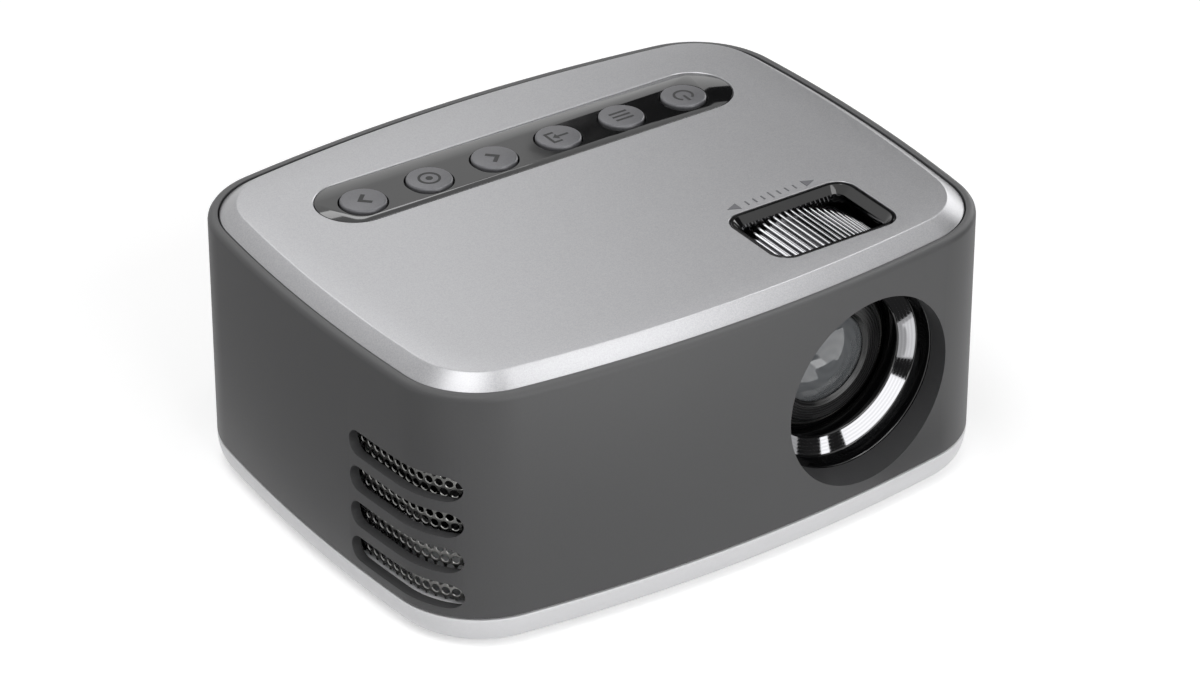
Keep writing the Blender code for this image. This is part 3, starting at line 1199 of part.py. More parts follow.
def make_lamp():
    """Condenser lens, LED on its board and the finned heatsink behind it."""
    lens("condenser_lens", CONDENSER_RADIUS, ENGINE_LEFT_X, CONDENSER_EDGE, CONDENSER_BULGE,
         CONDENSER_EDGE / 4, CLEAR_GLASS, at=(0, LIGHT_Y, LENS_Z), turn=TO_RIGHT)
    half = LED_BOARD_SIZE / 2
    board = box("led_board", (LED_BOARD_X - LED_BOARD_THICK, LIGHT_Y - half, LENS_Z - half),
                (LED_BOARD_X, LIGHT_Y + half, LENS_Z + half), WHITE_BOARD)
    half = LED_SIZE / 2
    chip = box("led_chip", (LED_BOARD_X - LED_BOARD_THICK / 2, LIGHT_Y - half, LENS_Z - half),
               (LED_FACE_X, LIGHT_Y + half, LENS_Z + half))
    join(board, chip, 'UNION')
    near, far = LIGHT_Y - SINK_DEPTH / 2, LIGHT_Y + SINK_DEPTH / 2
    bottom, top = LENS_Z - SINK_HEIGHT / 2, LENS_Z + SINK_HEIGHT / 2
    sink = box("heatsink", (SINK_BASE_X - SINK_BASE, near, bottom), (SINK_BASE_X, far, top), ALUMINIUM)
    pitch = (SINK_HEIGHT - FIN_THICK) / (FIN_COUNT - 1)
    fins = []
    for z in spread(FIN_COUNT, pitch, LENS_Z):
        fins.append(((SINK_BASE_X - SINK_BASE - FIN_LENGTH, near, z - FIN_THICK / 2),
                     (SINK_BASE_X - SINK_BASE / 2, far, z + FIN_THICK / 2)))
    return join(sink, boxes("heatsink_fins", fins), 'UNION')


def make_fan():
    """The square fan frame with its motor hub on struts, and the bladed wheel in it."""
    half, depth = FAN_SIZE / 2, FAN_THICK / 2
    at = (FAN_X, FAN_Y, FAN_Z)
    frame = box("fan_frame", (-half, -half, -depth), (half, half, depth), MATTE_BLACK,
                at=at, turn=TO_RIGHT)
    join(frame, rods("fan_bore", FAN_BORE, -depth - OVERRUN, depth + OVERRUN, [(0, 0)],
                     steps=ROUND_STEPS, at=at, turn=TO_RIGHT))
    back = depth - FAN_BACK
    reach, strut = FAN_BORE + OVERRUN, FAN_STRUT / 2
    for index, (across, along) in enumerate(((reach, strut), (strut, reach))):
        bar = box(f"fan_strut_{index + 1}", (-across, -along, back + GAP / 2),
                  (across, along, depth - GAP / 2), at=at, turn=TO_RIGHT)
        join(frame, bar, 'UNION')
    join(frame, rods("fan_motor", FAN_HUB_RADIUS, back, depth, [(0, 0)], steps=ROUND_STEPS,
                     at=at, turn=TO_RIGHT), 'UNION')
    join(frame, rods("fan_bearing", FAN_SHAFT_RADIUS + GAP, back - OVERRUN, depth - FAN_BACK / 4,
                     [(0, 0)], at=at, turn=TO_RIGHT))
    top = back - GAP
    bottom = -depth + FAN_BACK / 2
    profile = [(0, back + FAN_BACK / 2), (FAN_SHAFT_RADIUS, back + FAN_BACK / 2), (FAN_SHAFT_RADIUS, top),
               (FAN_HUB_RADIUS, top), (FAN_HUB_RADIUS, bottom), (0, bottom)]
    wheel = turned("fan_impeller", profile, MATTE_BLACK, ROUND_STEPS, at=at, turn=TO_RIGHT)
    join(wheel, fan_blades((top + bottom) / 2, at), 'UNION')


def fan_blades(middle, at):
    """Seven pitched blades whose roots are sunk in the hub."""
    shape = bmesh.new()
    root, tip = FAN_HUB_RADIUS - BLADE_ROOT_SINK, FAN_BORE - FAN_TIP_PLAY
    along = Vector((0, sin(BLADE_PITCH), cos(BLADE_PITCH))) * BLADE_CHORD / 2
    thick = Vector((0, cos(BLADE_PITCH), -sin(BLADE_PITCH))) * BLADE_THICK / 2
    for index in range(BLADE_COUNT):
        spin = Matrix.Rotation(2 * pi * index / BLADE_COUNT, 3, 'Z')
        loops = []
        for radius in (root, tip):
            hub = Vector((radius, 0, middle))
            loops.append([spin @ (hub + along + thick), spin @ (hub + along - thick),
                          spin @ (hub - along - thick), spin @ (hub - along + thick)])
        loft(loops, shape=shape)
    return from_bmesh("fan_blades", shape, at=at, turn=TO_RIGHT)


def make_main_board():
    """The circuit board on its pegs, with a hole for the engine's rear leg."""
    board = box("main_board", (BOARD_LEFT_X, BOARD_FRONT_Y, BOARD_BOTTOM),
                (BOARD_RIGHT_X, BOARD_REAR_Y, BOARD_TOP), BOARD_GREEN)
    leg = engine_leg_places()[-1]
    join(board, rods("board_leg_hole", ENGINE_LEG_RADIUS + OVERRUN, BOARD_BOTTOM - OVERRUN,
                     BOARD_TOP + OVERRUN, [leg], steps=ROUND_STEPS))
    half = CHIP_SIZE / 2
    middle_y = BOARD_FRONT_Y + CHIP_SIZE
    chips = [((x - half, middle_y - half, BOARD_TOP - BOARD_THICK / 2),
              (x + half, middle_y + half, BOARD_TOP + CHIP_THICK))
             for x in (BOARD_LEFT_X / 2, LENS_X)]
    return join(board, boxes("board_chips", chips), 'UNION')


def socket_body(name, middle, width, height, depth, look):
    """The outer block of a socket on the rear edge of the board."""
    return box(name, (middle - width / 2, SOCKET_FACE_Y - depth, SOCKET_BOTTOM),
               (middle + width / 2, SOCKET_FACE_Y, SOCKET_BOTTOM + height), look)


def hollow_socket(name, middle, width, height, depth, wall, tongue, look):
    """A sheet-metal socket with a mouth at the rear and, if it has one, a tongue inside."""
    body = socket_body(name, middle, width, height, depth, look)
    back = SOCKET_FACE_Y - depth + 2 * wall
    low, high = SOCKET_BOTTOM + wall, SOCKET_BOTTOM + height - wall
    left, right = middle - width / 2 + wall, middle + width / 2 - wall
    join(body, box(f"{name}_mouth", (left, back, low), (right, SOCKET_FACE_Y + OVERRUN, high)))
    if tongue:
        centre = (low + high) / 2
        plate = box(f"{name}_tongue", (left + tongue, back - wall, centre - tongue / 2),
                    (right - tongue, SOCKET_FACE_Y - 2 * tongue, centre + tongue / 2))
        join(body, plate, 'UNION')


def round_socket(name, middle, width, height, depth, bore, look):
    """A block with a round bore facing the rear."""
    body = socket_body(name, middle, width, height, depth, look)
    centre = (middle, 0, SOCKET_BOTTOM + height / 2)
    back = SOCKET_FACE_Y - depth * 3 / 4
    hole = rods(f"{name}_bore", bore, -SOCKET_FACE_Y - OVERRUN, -back, [(0, 0)],
                steps=SMALL_STEPS, at=centre, turn=FORWARD)
    return join(body, hole), centre, back


def make_sockets():
    """The sockets, the card slot and the remote control's receiver."""
    hollow_socket("hdmi_socket", HDMI_X, HDMI_WIDTH, HDMI_HEIGHT, HDMI_DEPTH, HDMI_WALL, HDMI_TONGUE, STEEL)
    hollow_socket("usb_socket", USB_X, USB_WIDTH, USB_HEIGHT, USB_DEPTH, USB_WALL, USB_TONGUE, STEEL)
    hollow_socket("card_slot", CARD_X, CARD_WIDTH, CARD_HEIGHT, CARD_DEPTH, CARD_WALL, 0, STEEL)
    round_socket("av_jack", AV_X, AV_WIDTH, AV_HEIGHT, AV_DEPTH, AV_BORE, MATTE_BLACK)
    jack, centre, back = round_socket("power_jack", POWER_X, POWER_WIDTH, POWER_HEIGHT, POWER_DEPTH,
                                      POWER_BORE, MATTE_BLACK)
    pin = rods("power_pin", POWER_PIN, -SOCKET_FACE_Y + OVERRUN, -back + OVERRUN, [(0, 0)],
               at=centre, turn=FORWARD)
    join(jack, pin, 'UNION')
    eye = socket_body("infrared_receiver", EYE_X, EYE_WIDTH, EYE_HEIGHT, EYE_DEPTH, PIANO_BLACK)
    bead = rods("receiver_bead", EYE_RADIUS, -SOCKET_FACE_Y - EYE_PROUD, -SOCKET_FACE_Y + OVERRUN,
                [(0, 0)], at=(EYE_X, 0, SOCKET_BOTTOM + EYE_HEIGHT / 2), turn=FORWARD)
    return join(eye, bead, 'UNION')


def make_key_board():
    """The board under the keys, its two screws and the six switches on it."""
    reach = (KEY_COUNT - 1) * KEY_PITCH / 2 + KEY_BOARD_END
    depth = KEY_BOARD_DEPTH / 2
    board = box("key_board", (KEY_MIDDLE_X - reach, KEY_Y - depth, KEY_BOARD_BOTTOM),
                (KEY_MIDDLE_X + reach, KEY_Y + depth, KEY_BOARD_TOP), BOARD_GREEN)
    join(board, rods("key_board_holes", SMALL_SCREW_RADIUS + GAP, KEY_BOARD_BOTTOM - OVERRUN,
                     KEY_BOARD_TOP + OVERRUN, pillar_places()))
    bottom = KEY_BOARD_BOTTOM - GAP - SMALL_SCREW_HEAD_THICK
    profile = screw_profile(SMALL_SCREW_HEAD, SMALL_SCREW_HEAD_THICK, SMALL_SCREW_RADIUS,
                            SMALL_SCREW_LENGTH)
    for index, (x, y) in enumerate(pillar_places()):
        turned(f"key_board_screw_{index + 1}", profile, STEEL, SMALL_STEPS, at=(x, y, bottom))
    half = SWITCH_SIZE / 2
    for index, (x, y) in enumerate(key_places()):
        body = box(f"key_switch_{index + 1}", (x - half, y - half, SWITCH_BOTTOM),
                   (x + half, y + half, SWITCH_TOP), MATTE_BLACK)
        join(body, rods(f"plunger_{index + 1}", PLUNGER_RADIUS, SWITCH_BOTTOM + SWITCH_BODY / 2,
                        PLUNGER_TOP, [(x, y)]), 'UNION')


def make_keys():
    """Six round caps, each with a flange under the plate that keeps it in."""
    flange = KEY_RADIUS + KEY_FLANGE
    profile = [(0, KEY_TOP - STRIP_TOP), (KEY_RADIUS - KEY_CHAMFER, KEY_TOP - STRIP_TOP),
               (KEY_RADIUS, KEY_TOP - STRIP_TOP - KEY_CHAMFER), (KEY_RADIUS, KEY_FLANGE_TOP - STRIP_TOP),
               (flange, KEY_FLANGE_TOP - STRIP_TOP), (flange, KEY_FLANGE_BOTTOM - STRIP_TOP),
               (0, KEY_FLANGE_BOTTOM - STRIP_TOP)]
    for index, (x, y) in enumerate(key_places()):
        turned(f"keycap_{index + 1}", profile, KEY_GREY, ROUND_STEPS, at=(x, y, STRIP_TOP))


def make_speaker():
    """The small speaker that faces down through the holes in the tray."""
    bottom = TRAY_FLOOR_TOP + GAP
    frame_top, top = bottom + SPEAKER_FRAME, bottom + SPEAKER_HEIGHT
    cone = bottom + SPEAKER_CONE_DEPTH
    profile = [(0, top), (MAGNET_RADIUS, top), (MAGNET_RADIUS, top - MAGNET_HEIGHT),
               (SPEAKER_RADIUS - SPEAKER_ROLL / 2, frame_top), (SPEAKER_RADIUS, frame_top),
               (SPEAKER_RADIUS, bottom), (SPEAKER_RADIUS - SPEAKER_ROLL / 2, bottom),
               (SPEAKER_RADIUS - SPEAKER_ROLL, bottom + SPEAKER_FRAME / 4),
               (SPEAKER_CAP_RADIUS, cone), (SPEAKER_CAP_RADIUS / 2, cone - SPEAKER_FRAME / 3),
               (0, cone - SPEAKER_FRAME / 2)]
    turned("speaker", profile, MATTE_BLACK, ROUND_STEPS, at=(SPEAKER_X, SPEAKER_Y, 0))


def main():
    """Build every piece of the projector."""
    clear_scene()
    make_side_shell()
    make_bottom_tray()
    make_top_plate()
    make_button_strip()
    make_focus_bezel()
    make_trim_ring()
    make_vent_mesh()
    make_feet()
    make_case_screws()
    make_stand_nut()
    make_focus_ring()
    make_lens_mount()
    make_ring_retainer()
    slider = bpy.data.objects.new("focus_slider", None)
    slider.location = LENS_AXIS
    slider.rotation_euler = FORWARD
    bpy.data.collections[PART_COLLECTION].objects.link(slider)
    make_barrel(slider)
    make_glass(slider)
    make_engine_housing()
    make_engine_cover()
    make_panels()
    make_lamp()
    make_fan()
    make_main_board()
    make_sockets()
    make_key_board()
    make_keys()
    make_speaker()


main()
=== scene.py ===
"""Looks of a palm-size LED projector with a focus wheel, built round its solids.

Lengths are in metres and +Z is up. The lens looks along -Y and +X is on the right of
someone who faces the lens. A distance "forward" is measured from the middle of the
case towards the front, along the lens axis.
"""

import logging
from dataclasses import dataclass, field
from enum import Enum
from math import acos, cos, pi, radians, sin, sqrt, tan
from typing import Iterable, Sequence

import bmesh
import bpy
from mathutils import Matrix, Vector
from mathutils.geometry import intersect_sphere_sphere_2d


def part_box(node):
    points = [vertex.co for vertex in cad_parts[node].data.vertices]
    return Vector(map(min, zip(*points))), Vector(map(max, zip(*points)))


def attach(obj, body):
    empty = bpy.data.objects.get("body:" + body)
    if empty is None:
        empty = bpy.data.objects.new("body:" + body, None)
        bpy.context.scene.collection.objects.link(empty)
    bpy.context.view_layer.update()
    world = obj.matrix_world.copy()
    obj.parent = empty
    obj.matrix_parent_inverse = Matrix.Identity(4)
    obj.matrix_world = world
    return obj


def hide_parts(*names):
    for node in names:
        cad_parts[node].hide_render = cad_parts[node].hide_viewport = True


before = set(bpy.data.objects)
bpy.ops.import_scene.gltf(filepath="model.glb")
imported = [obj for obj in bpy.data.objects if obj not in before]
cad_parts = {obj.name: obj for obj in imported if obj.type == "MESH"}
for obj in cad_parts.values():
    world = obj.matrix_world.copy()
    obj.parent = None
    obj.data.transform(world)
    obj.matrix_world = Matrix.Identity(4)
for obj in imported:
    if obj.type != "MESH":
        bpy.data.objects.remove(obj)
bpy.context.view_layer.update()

LOG = logging.getLogger("projector")
MERGE = 0.000002
OVERRUN = 0.0010
GAP = 0.0003
SOFT_ANGLE = radians(40)
SHARP_ANGLE = radians(32)
DRUM_ANGLE = radians(50)
FINE_STEPS = 128
ROUND_STEPS = 64
SMALL_STEPS = 32
FILLET_STEPS = 4
END_STEPS = 10
HEX_SIDES = 6

UP = Vector((0, 0, 1))
FORWARD = Vector((0, -1, 0))
REARWARD = Vector((0, 1, 0))

Corner = tuple[float, float, float]


class Body(Enum):
    """What a piece moves with."""

    CASE = "case"
    WHEEL = "focus_wheel"
    SLIDER = "lens_slider"


class Pattern(Enum):
    """How a surface was worked, which decides the pattern on it."""

    GRAIN = "spark-eroded or moulded grain"
    FLAKE = "metal flakes in lacquer"
    TURNED = "turning marks round the lens axis"
    TURNED_UPRIGHT = "turning marks round an upright axis"
    DRAWN = "marks drawn out along one direction"
    TRACKS = "copper tracks under solder mask"


def linear(hex_colour: str) -> tuple[float, float, float, float]:
    """Turn an sRGB hex colour into linear light.

    Args:
        hex_colour: six hex digits.

    Returns:
        Red, green, blue and an alpha of one.
    """
    values = [int(hex_colour[i:i + 2], 16) / 255 for i in (0, 2, 4)]
    return (*[v / 12.92 if v <= 0.04045 else ((v + 0.055) / 1.055) ** 2.4 for v in values], 1.0)


def add_node(tree: bpy.types.NodeTree, kind: str, settings: dict | None = None,
             inputs: dict | None = None) -> bpy.types.Node:
    """Add a node, set its properties, and fill or link its inputs.

    Args:
        tree: the material's or world's tree.
        kind: the node's type without the leading ShaderNode.
        settings: properties by name.
        inputs: a value or an output socket for each input, by name or number.

    Returns:
        The new node.
    """
    node = tree.nodes.new("ShaderNode" + kind)
    for name, value in (settings or {}).items():
        setattr(node, name, value)
    for name, value in (inputs or {}).items():
        if isinstance(value, bpy.types.NodeSocket):
            tree.links.new(value, node.inputs[name])
        else:
            node.inputs[name].default_value = value
    return node


@dataclass(frozen=True)
class Finish:
    """One surface finish, from what the material is and how it was worked."""

    name: str
    slot: str
    colour: str
    other_colour: str
    roughness: float
    roughness_spread: float = 0.04
    metallic: float = 0.0
    ior: float = 1.5
    coat: float = 0.0
    coat_roughness: float = 0.05
    transmission: float = 0.0
    pattern: Pattern = Pattern.GRAIN
    feature: float = 0.0004
    relief: float = 0.000006
    centre: tuple[float, float, float] = (0.0, 0.0, 0.0)
    draw: tuple[float, float, float] = (1.0, 1.0, 1.0)

    def pattern_value(self, tree: bpy.types.NodeTree) -> bpy.types.NodeSocket:
        """Lay the pattern out in real size on the piece's own coordinates.

        Args:
            tree: the material's node tree.

        Returns:
            A socket that runs from 0 to 1 over the pattern.
        """
        place = add_node(tree, "TexCoord")
        laid = add_node(tree, "Mapping", {"vector_type": 'POINT'},
                        {"Vector": place.outputs["Object"], "Scale": self.draw,
                         "Location": [-c * d for c, d in zip(self.centre, self.draw)]})
        vector = laid.outputs["Vector"]
        per_metre = 1 / self.feature
        if self.pattern is Pattern.FLAKE:
            cells = add_node(tree, "TexVoronoi", {"feature": 'F1'}, {"Vector": vector, "Scale": per_metre})
            return add_node(tree, "SeparateColor", {}, {"Color": cells.outputs["Color"]}).outputs[0]
        if self.pattern in (Pattern.TURNED, Pattern.TURNED_UPRIGHT):
            axis = 'Y' if self.pattern is Pattern.TURNED else 'Z'
            # A wave's rings repeat every tenth of pi at a scale of one.
            rings = add_node(tree, "TexWave", {"wave_type": 'RINGS', "rings_direction": axis},
                             {"Vector": vector, "Scale": per_metre * pi / 10, "Distortion": 0.6,
                              "Detail": 2.0, "Detail Scale": 1.2})
            return rings.outputs["Fac"]
        if self.pattern is Pattern.TRACKS:
            tracks = add_node(tree, "TexBrick", {"offset": 0.37, "squash": 1.0},
                              {"Vector": vector, "Scale": per_metre, "Mortar Size": 0.06,
                               "Color1": (0, 0, 0, 1), "Color2": (0.25, 0.25, 0.25, 1),
                               "Mortar": (1, 1, 1, 1), "Brick Width": 2.6, "Row Height": 0.7})
            return tracks.outputs["Color"]
        grain = add_node(tree, "TexNoise", {"noise_dimensions": '3D'},
                         {"Vector": vector, "Scale": per_metre, "Detail": 3.0, "Roughness": 0.6})
        return grain.outputs[0]

    def material(self) -> bpy.types.Material:
        """Make the material, or find it if another piece already wears it.

        Returns:
            The material that the pieces with this finish share.
        """
        made = bpy.data.materials.get(self.name)
        if made:
            return made
        made = bpy.data.materials.new(self.name)
        made.use_nodes = True
        tree = made.node_tree
        shader = tree.nodes["Principled BSDF"]
        constants = {"Metallic": self.metallic, "IOR": self.ior, "Coat Weight": self.coat,
                     "Coat Roughness": self.coat_roughness, "Transmission Weight": self.transmission}
        for name, value in constants.items():
            shader.inputs[name].default_value = value
        value = self.pattern_value(tree)
        colour = add_node(tree, "Mix", {"data_type": 'RGBA'},
                          {"Factor": value, 6: linear(self.colour), 7: linear(self.other_colour)})
        rough = add_node(tree, "MapRange", {},
                         {"Value": value, "To Min": self.roughness - self.roughness_spread,
                          "To Max": self.roughness + self.roughness_spread})
        bump = add_node(tree, "Bump", {}, {"Height": value, "Distance": self.relief, "Strength": 1.0})
        tree.links.new(colour.outputs[2], shader.inputs["Base Color"])
        tree.links.new(rough.outputs[0], shader.inputs["Roughness"])
        tree.links.new(bump.outputs["Normal"], shader.inputs["Normal"])
        return made


LENS_LOW, LENS_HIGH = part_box("lens_trim_ring")
LENS_X, LENS_Z = (LENS_LOW.x + LENS_HIGH.x) / 2, (LENS_LOW.z + LENS_HIGH.z) / 2
LENS_CENTRE = (LENS_X, 0.0, LENS_Z)

# Moulded ABS from a spark-eroded tool: dark warm grey, satin, with a grain that just
# breaks the highlights up. The real grain is near 0.1 mm; it is drawn at 0.35 mm to show.
SHELL_PLASTIC = Finish("moulded_dark_grey_abs", "dark_grey_plastic", "404041", "474748", 0.5, 0.05,
                       feature=0.00035, relief=0.00001)
# Silver lacquer with aluminium flakes on ABS: a soft metal sheen with a fine sparkle.
# Real flakes are 0.03 mm; they are drawn at 0.16 mm, the finest that shows.
SILVER_LACQUER = Finish("silver_flake_lacquer", "silver_paint", "949496", "A0A0A2", 0.35, 0.04,
                        metallic=0.85, coat=0.2, coat_roughness=0.25, pattern=Pattern.FLAKE,
                        feature=0.00016, relief=0.000001)
# Pale ABS, moulded and lightly polished: near white with a soft edge highlight.
TRAY_PLASTIC = Finish("moulded_pale_grey_abs", "pale_plastic", "E2E2E4", "E8E8EA", 0.36, 0.04,
                      feature=0.0005, relief=0.000004)
# Cast acrylic, black and polished: mirror-like, with faint waviness from moulding.
GLOSS_ACRYLIC = Finish("polished_black_acrylic", "piano_black", "0B0B0C", "101011", 0.07, 0.03, coat=0.3,
                       coat_roughness=0.03, feature=0.006, relief=0.000002)
# Highly polished black ABS of the funnel round the lens: black, with hard bright reflections.
TRIM_PLASTIC = Finish("polished_black_trim", "piano_black", "0A0A0B", "0E0E0F", 0.06, 0.02, coat=0.3,
                      coat_roughness=0.03, pattern=Pattern.TURNED, feature=0.0006, relief=0.0000006,
                      centre=LENS_CENTRE)
# Smoked chrome on the funnel's slope: near black or white, as the studio is mirrored.
BAND_CHROME = Finish("smoked_chrome_band", "piano_black", "858587", "8F8F91", 0.05, 0.02, metallic=1.0,
                     pattern=Pattern.TURNED, feature=0.0006, relief=0.0000004, centre=LENS_CENTRE)
# Black nylon with glass fibre, moulded: matte and slightly mottled.
MATTE_NYLON = Finish("moulded_black_nylon", "matte_black", "1C1C1D", "242425", 0.55, 0.06,
                     feature=0.0006, relief=0.00001)
# Turned and blackened aluminium of the barrel: black, with a soft sheen along the turning.
BARREL_BLACK = Finish("turned_blackened_barrel", "matte_black", "0C0C0D", "131314", 0.24, 0.06,
                      pattern=Pattern.TURNED, feature=0.0005, relief=0.000002, centre=LENS_CENTRE)
# Smoked chrome plating of the focus wheel: the ribs mirror white, and the grooves stay black.
WHEEL_CHROME = Finish("smoked_chrome_plating", "matte_black", "858587", "8F8F91", 0.09, 0.03,
                      metallic=1.0, feature=0.0008, relief=0.0000006)
# Grey ABS key caps under a satin lacquer with a little metal in it, drawn at 0.2 mm.
KEY_LACQUER = Finish("satin_grey_key_lacquer", "key_grey", "58585B", "626265", 0.36, 0.05,
                     metallic=0.35, pattern=Pattern.FLAKE, feature=0.0002, relief=0.000003)
# Pad-printing ink: thin, dark and slightly uneven.
PRINT_INK = Finish("dark_printing_ink", "piano_black", "0A0A0B", "121213", 0.7, 0.08, feature=0.0003,
                   relief=0.000004)
# Grey pad-printing ink for the marks beside the wheel.
GREY_INK = Finish("grey_printing_ink", "key_grey", "55555A", "626267", 0.45, 0.08, feature=0.0003,
                  relief=0.000004)
# Perforated stainless sheet: bright, with rolling marks along it.
MESH_STEEL = Finish("perforated_stainless_sheet", "steel", "979795", "7A7A78", 0.24, 0.06,
                    metallic=1.0, pattern=Pattern.DRAWN, feature=0.0004, relief=0.000006,
                    draw=(1.0, 1.0, 0.15))
# Nickel-plated sheet of the sockets: stamped, with faint drawing marks.
SOCKET_STEEL = Finish("nickel_plated_sheet", "steel", "B7B4AE", "A29F99", 0.24, 0.07, metallic=1.0,
                      pattern=Pattern.DRAWN, feature=0.0005, relief=0.000004, draw=(1.0, 0.1, 1.0))
# Zinc-plated screw steel: formed heads, grey with a slight mottle.
SCREW_STEEL = Finish("zinc_plated_screw_steel", "steel", "A3A5A8", "8F9194", 0.32, 0.08, metallic=1.0,
                     feature=0.0006, relief=0.000006)
# Free-cutting brass, turned: yellow with fine rings.
NUT_BRASS = Finish("turned_brass", "brass", "C9A25A", "B48D48", 0.28, 0.06, metallic=1.0,
                   pattern=Pattern.TURNED_UPRIGHT, feature=0.0004, relief=0.000004)
# Silicone rubber feet: dull black with a dusty bloom.
FOOT_RUBBER = Finish("moulded_black_silicone", "black_rubber", "1B1B1C", "28282A", 0.82, 0.06,
                     feature=0.0007, relief=0.00002)
# Extruded aluminium, clear anodised: pale, drawn along the fins.
SINK_ALUMINIUM = Finish("extruded_anodised_aluminium", "aluminium", "C9CBCD", "B6B8BA", 0.36, 0.07,
                        metallic=1.0, pattern=Pattern.DRAWN, feature=0.0006, relief=0.000006,
                        draw=(1.0, 0.05, 1.0))
# Optical glass with a thin anti-reflection coat and faint polish marks. Its mid-grey, half-clear body is
# painted reflection: it stands in for the studio that the glass mirrors.
GLASS_PAINTED_GREY_REFLECTION = Finish("optical_glass_painted_grey_reflection", "clear_glass", "86898C", "8E9194", 0.02, 0.01, ior=1.7,
                    coat=0.8, coat_roughness=0.02, transmission=0.45, pattern=Pattern.TURNED,
                    feature=0.002, relief=0.0000002, centre=LENS_CENTRE)
# Pressed acrylic sheet with fine grooves: clear and slightly hazy.
FRESNEL_ACRYLIC = Finish("grooved_clear_acrylic", "clear_acrylic", "E4EAEE", "EEF2F5", 0.08, 0.03,
                         ior=1.49, transmission=0.9, feature=0.0008, relief=0.00001)
# Polarising film on the picture panel: dark violet grey and smooth.
PANEL_FILM = Finish("polarising_film", "lcd_film", "2C2E36", "343641", 0.18, 0.04, feature=0.0012,
                    relief=0.000002)
# Front-silvered float glass: nearly all the light, with a slight ripple.
MIRROR_SILVER = Finish("front_silvered_glass", "mirror_silver", "EDEEF0", "F3F4F5", 0.04, 0.02,
                       metallic=1.0, feature=0.008, relief=0.0000005)
# Glass-fibre board under green solder mask, with the copper tracks showing through.
GREEN_BOARD = Finish("green_solder_mask", "board_green", "0F5A2C", "2A7F45", 0.38, 0.06,
                     pattern=Pattern.TRACKS, feature=0.0016, relief=0.000012)
# Aluminium-backed lamp board under white solder mask.
WHITE_BOARD = Finish("white_solder_mask", "white_board", "E6E5DF", "F0EFEA", 0.4, 0.05, feature=0.0009,
                     relief=0.000006)
# Phosphor bronze contacts with a gold flash: warm and bright.
CONTACT_GOLD = Finish("gold_flashed_contacts", "brass", "D3A94F", "C29A45", 0.25, 0.06, metallic=1.0,
                      pattern=Pattern.DRAWN, feature=0.0004, relief=0.000003, draw=(1.0, 0.1, 1.0))
# Infrared-pass epoxy of the receiver: glossy, nearly black with a violet cast.
EYE_EPOXY = Finish("dark_violet_epoxy", "piano_black", "15101A", "1D1624", 0.1, 0.03, coat=0.4,
                   feature=0.002, relief=0.000002)


def rounded(corners: Sequence[Corner], closed: bool = True, steps: int = FILLET_STEPS) -> list[Vector]:
    """Draw a flat path, with an arc in place of each corner that has a radius.

    Args:
        corners: the two coordinates and the radius of each corner.
        closed: whether the last corner joins the first.
        steps: how many stretches an arc has.

    Returns:
        The path's points, without doubles.
    """
    path: list[Vector] = []
    for index, (across, along, radius) in enumerate(corners):
        here = Vector((across, along))
        if radius == 0 or (not closed and index in (0, len(corners) - 1)):
            path.append(here)
            continue
        before = (Vector(corners[index - 1][:2]) - here).normalized()
        after = (Vector(corners[(index + 1) % len(corners)][:2]) - here).normalized()
        half = before.angle(after) / 2
        centre = here + (before + after).normalized() * (radius / sin(half))
        start = here + before * (radius / tan(half)) - centre
        sweep = (pi - 2 * half) * (1 if before.cross(after) < 0 else -1)
        path += [centre + Matrix.Rotation(sweep * step / steps, 2) @ start for step in range(steps + 1)]
    return [point for index, point in enumerate(path)
            if (not closed and index == 0) or (point - path[index - 1]).length > MERGE]


def rectangle(centre: Sequence[float], width: float, height: float, radius: float) -> list[Corner]:
    """Corners of a rectangle about a centre, all with one radius."""
    x, y = width / 2, height / 2
    return [(centre[0] + a * x, centre[1] + b * y, radius) for a, b in ((1, 1), (-1, 1), (-1, -1), (1, -1))]


def tidy(shape: bmesh.types.BMesh) -> bmesh.types.BMesh:
    """Merge what meets and turn the faces outwards.

    Args:
        shape: the shape, which is changed.

    Returns:
        The same shape.
    """
    bmesh.ops.remove_doubles(shape, verts=shape.verts, dist=MERGE)
    bmesh.ops.recalc_face_normals(shape, faces=shape.faces)
    return shape


def soften(shape: bmesh.types.BMesh, width: float, segments: int = 2,
           angle: float = SOFT_ANGLE) -> bmesh.types.BMesh:
    """Round the sharp edges of a shape.

    Args:
        shape: a closed shape.
        width: how far the rounding reaches from the edge.
        segments: faces across the rounding.
        angle: edges that turn more than this are rounded.

    Returns:
        The same shape.
    """
    sharp = [edge for edge in shape.edges if len(edge.link_faces) == 2 and edge.calc_face_angle() > angle]
    bmesh.ops.bevel(shape, geom=sharp, offset=width, offset_type='OFFSET', segments=segments,
                    profile=0.5, affect='EDGES', material=-1, clamp_overlap=True)
    return shape


def fresh_part(grown: Iterable, kind: type) -> list:
    """Pick the vertices, edges or faces out of what an operator made."""
    return [part for part in grown if isinstance(part, kind)]


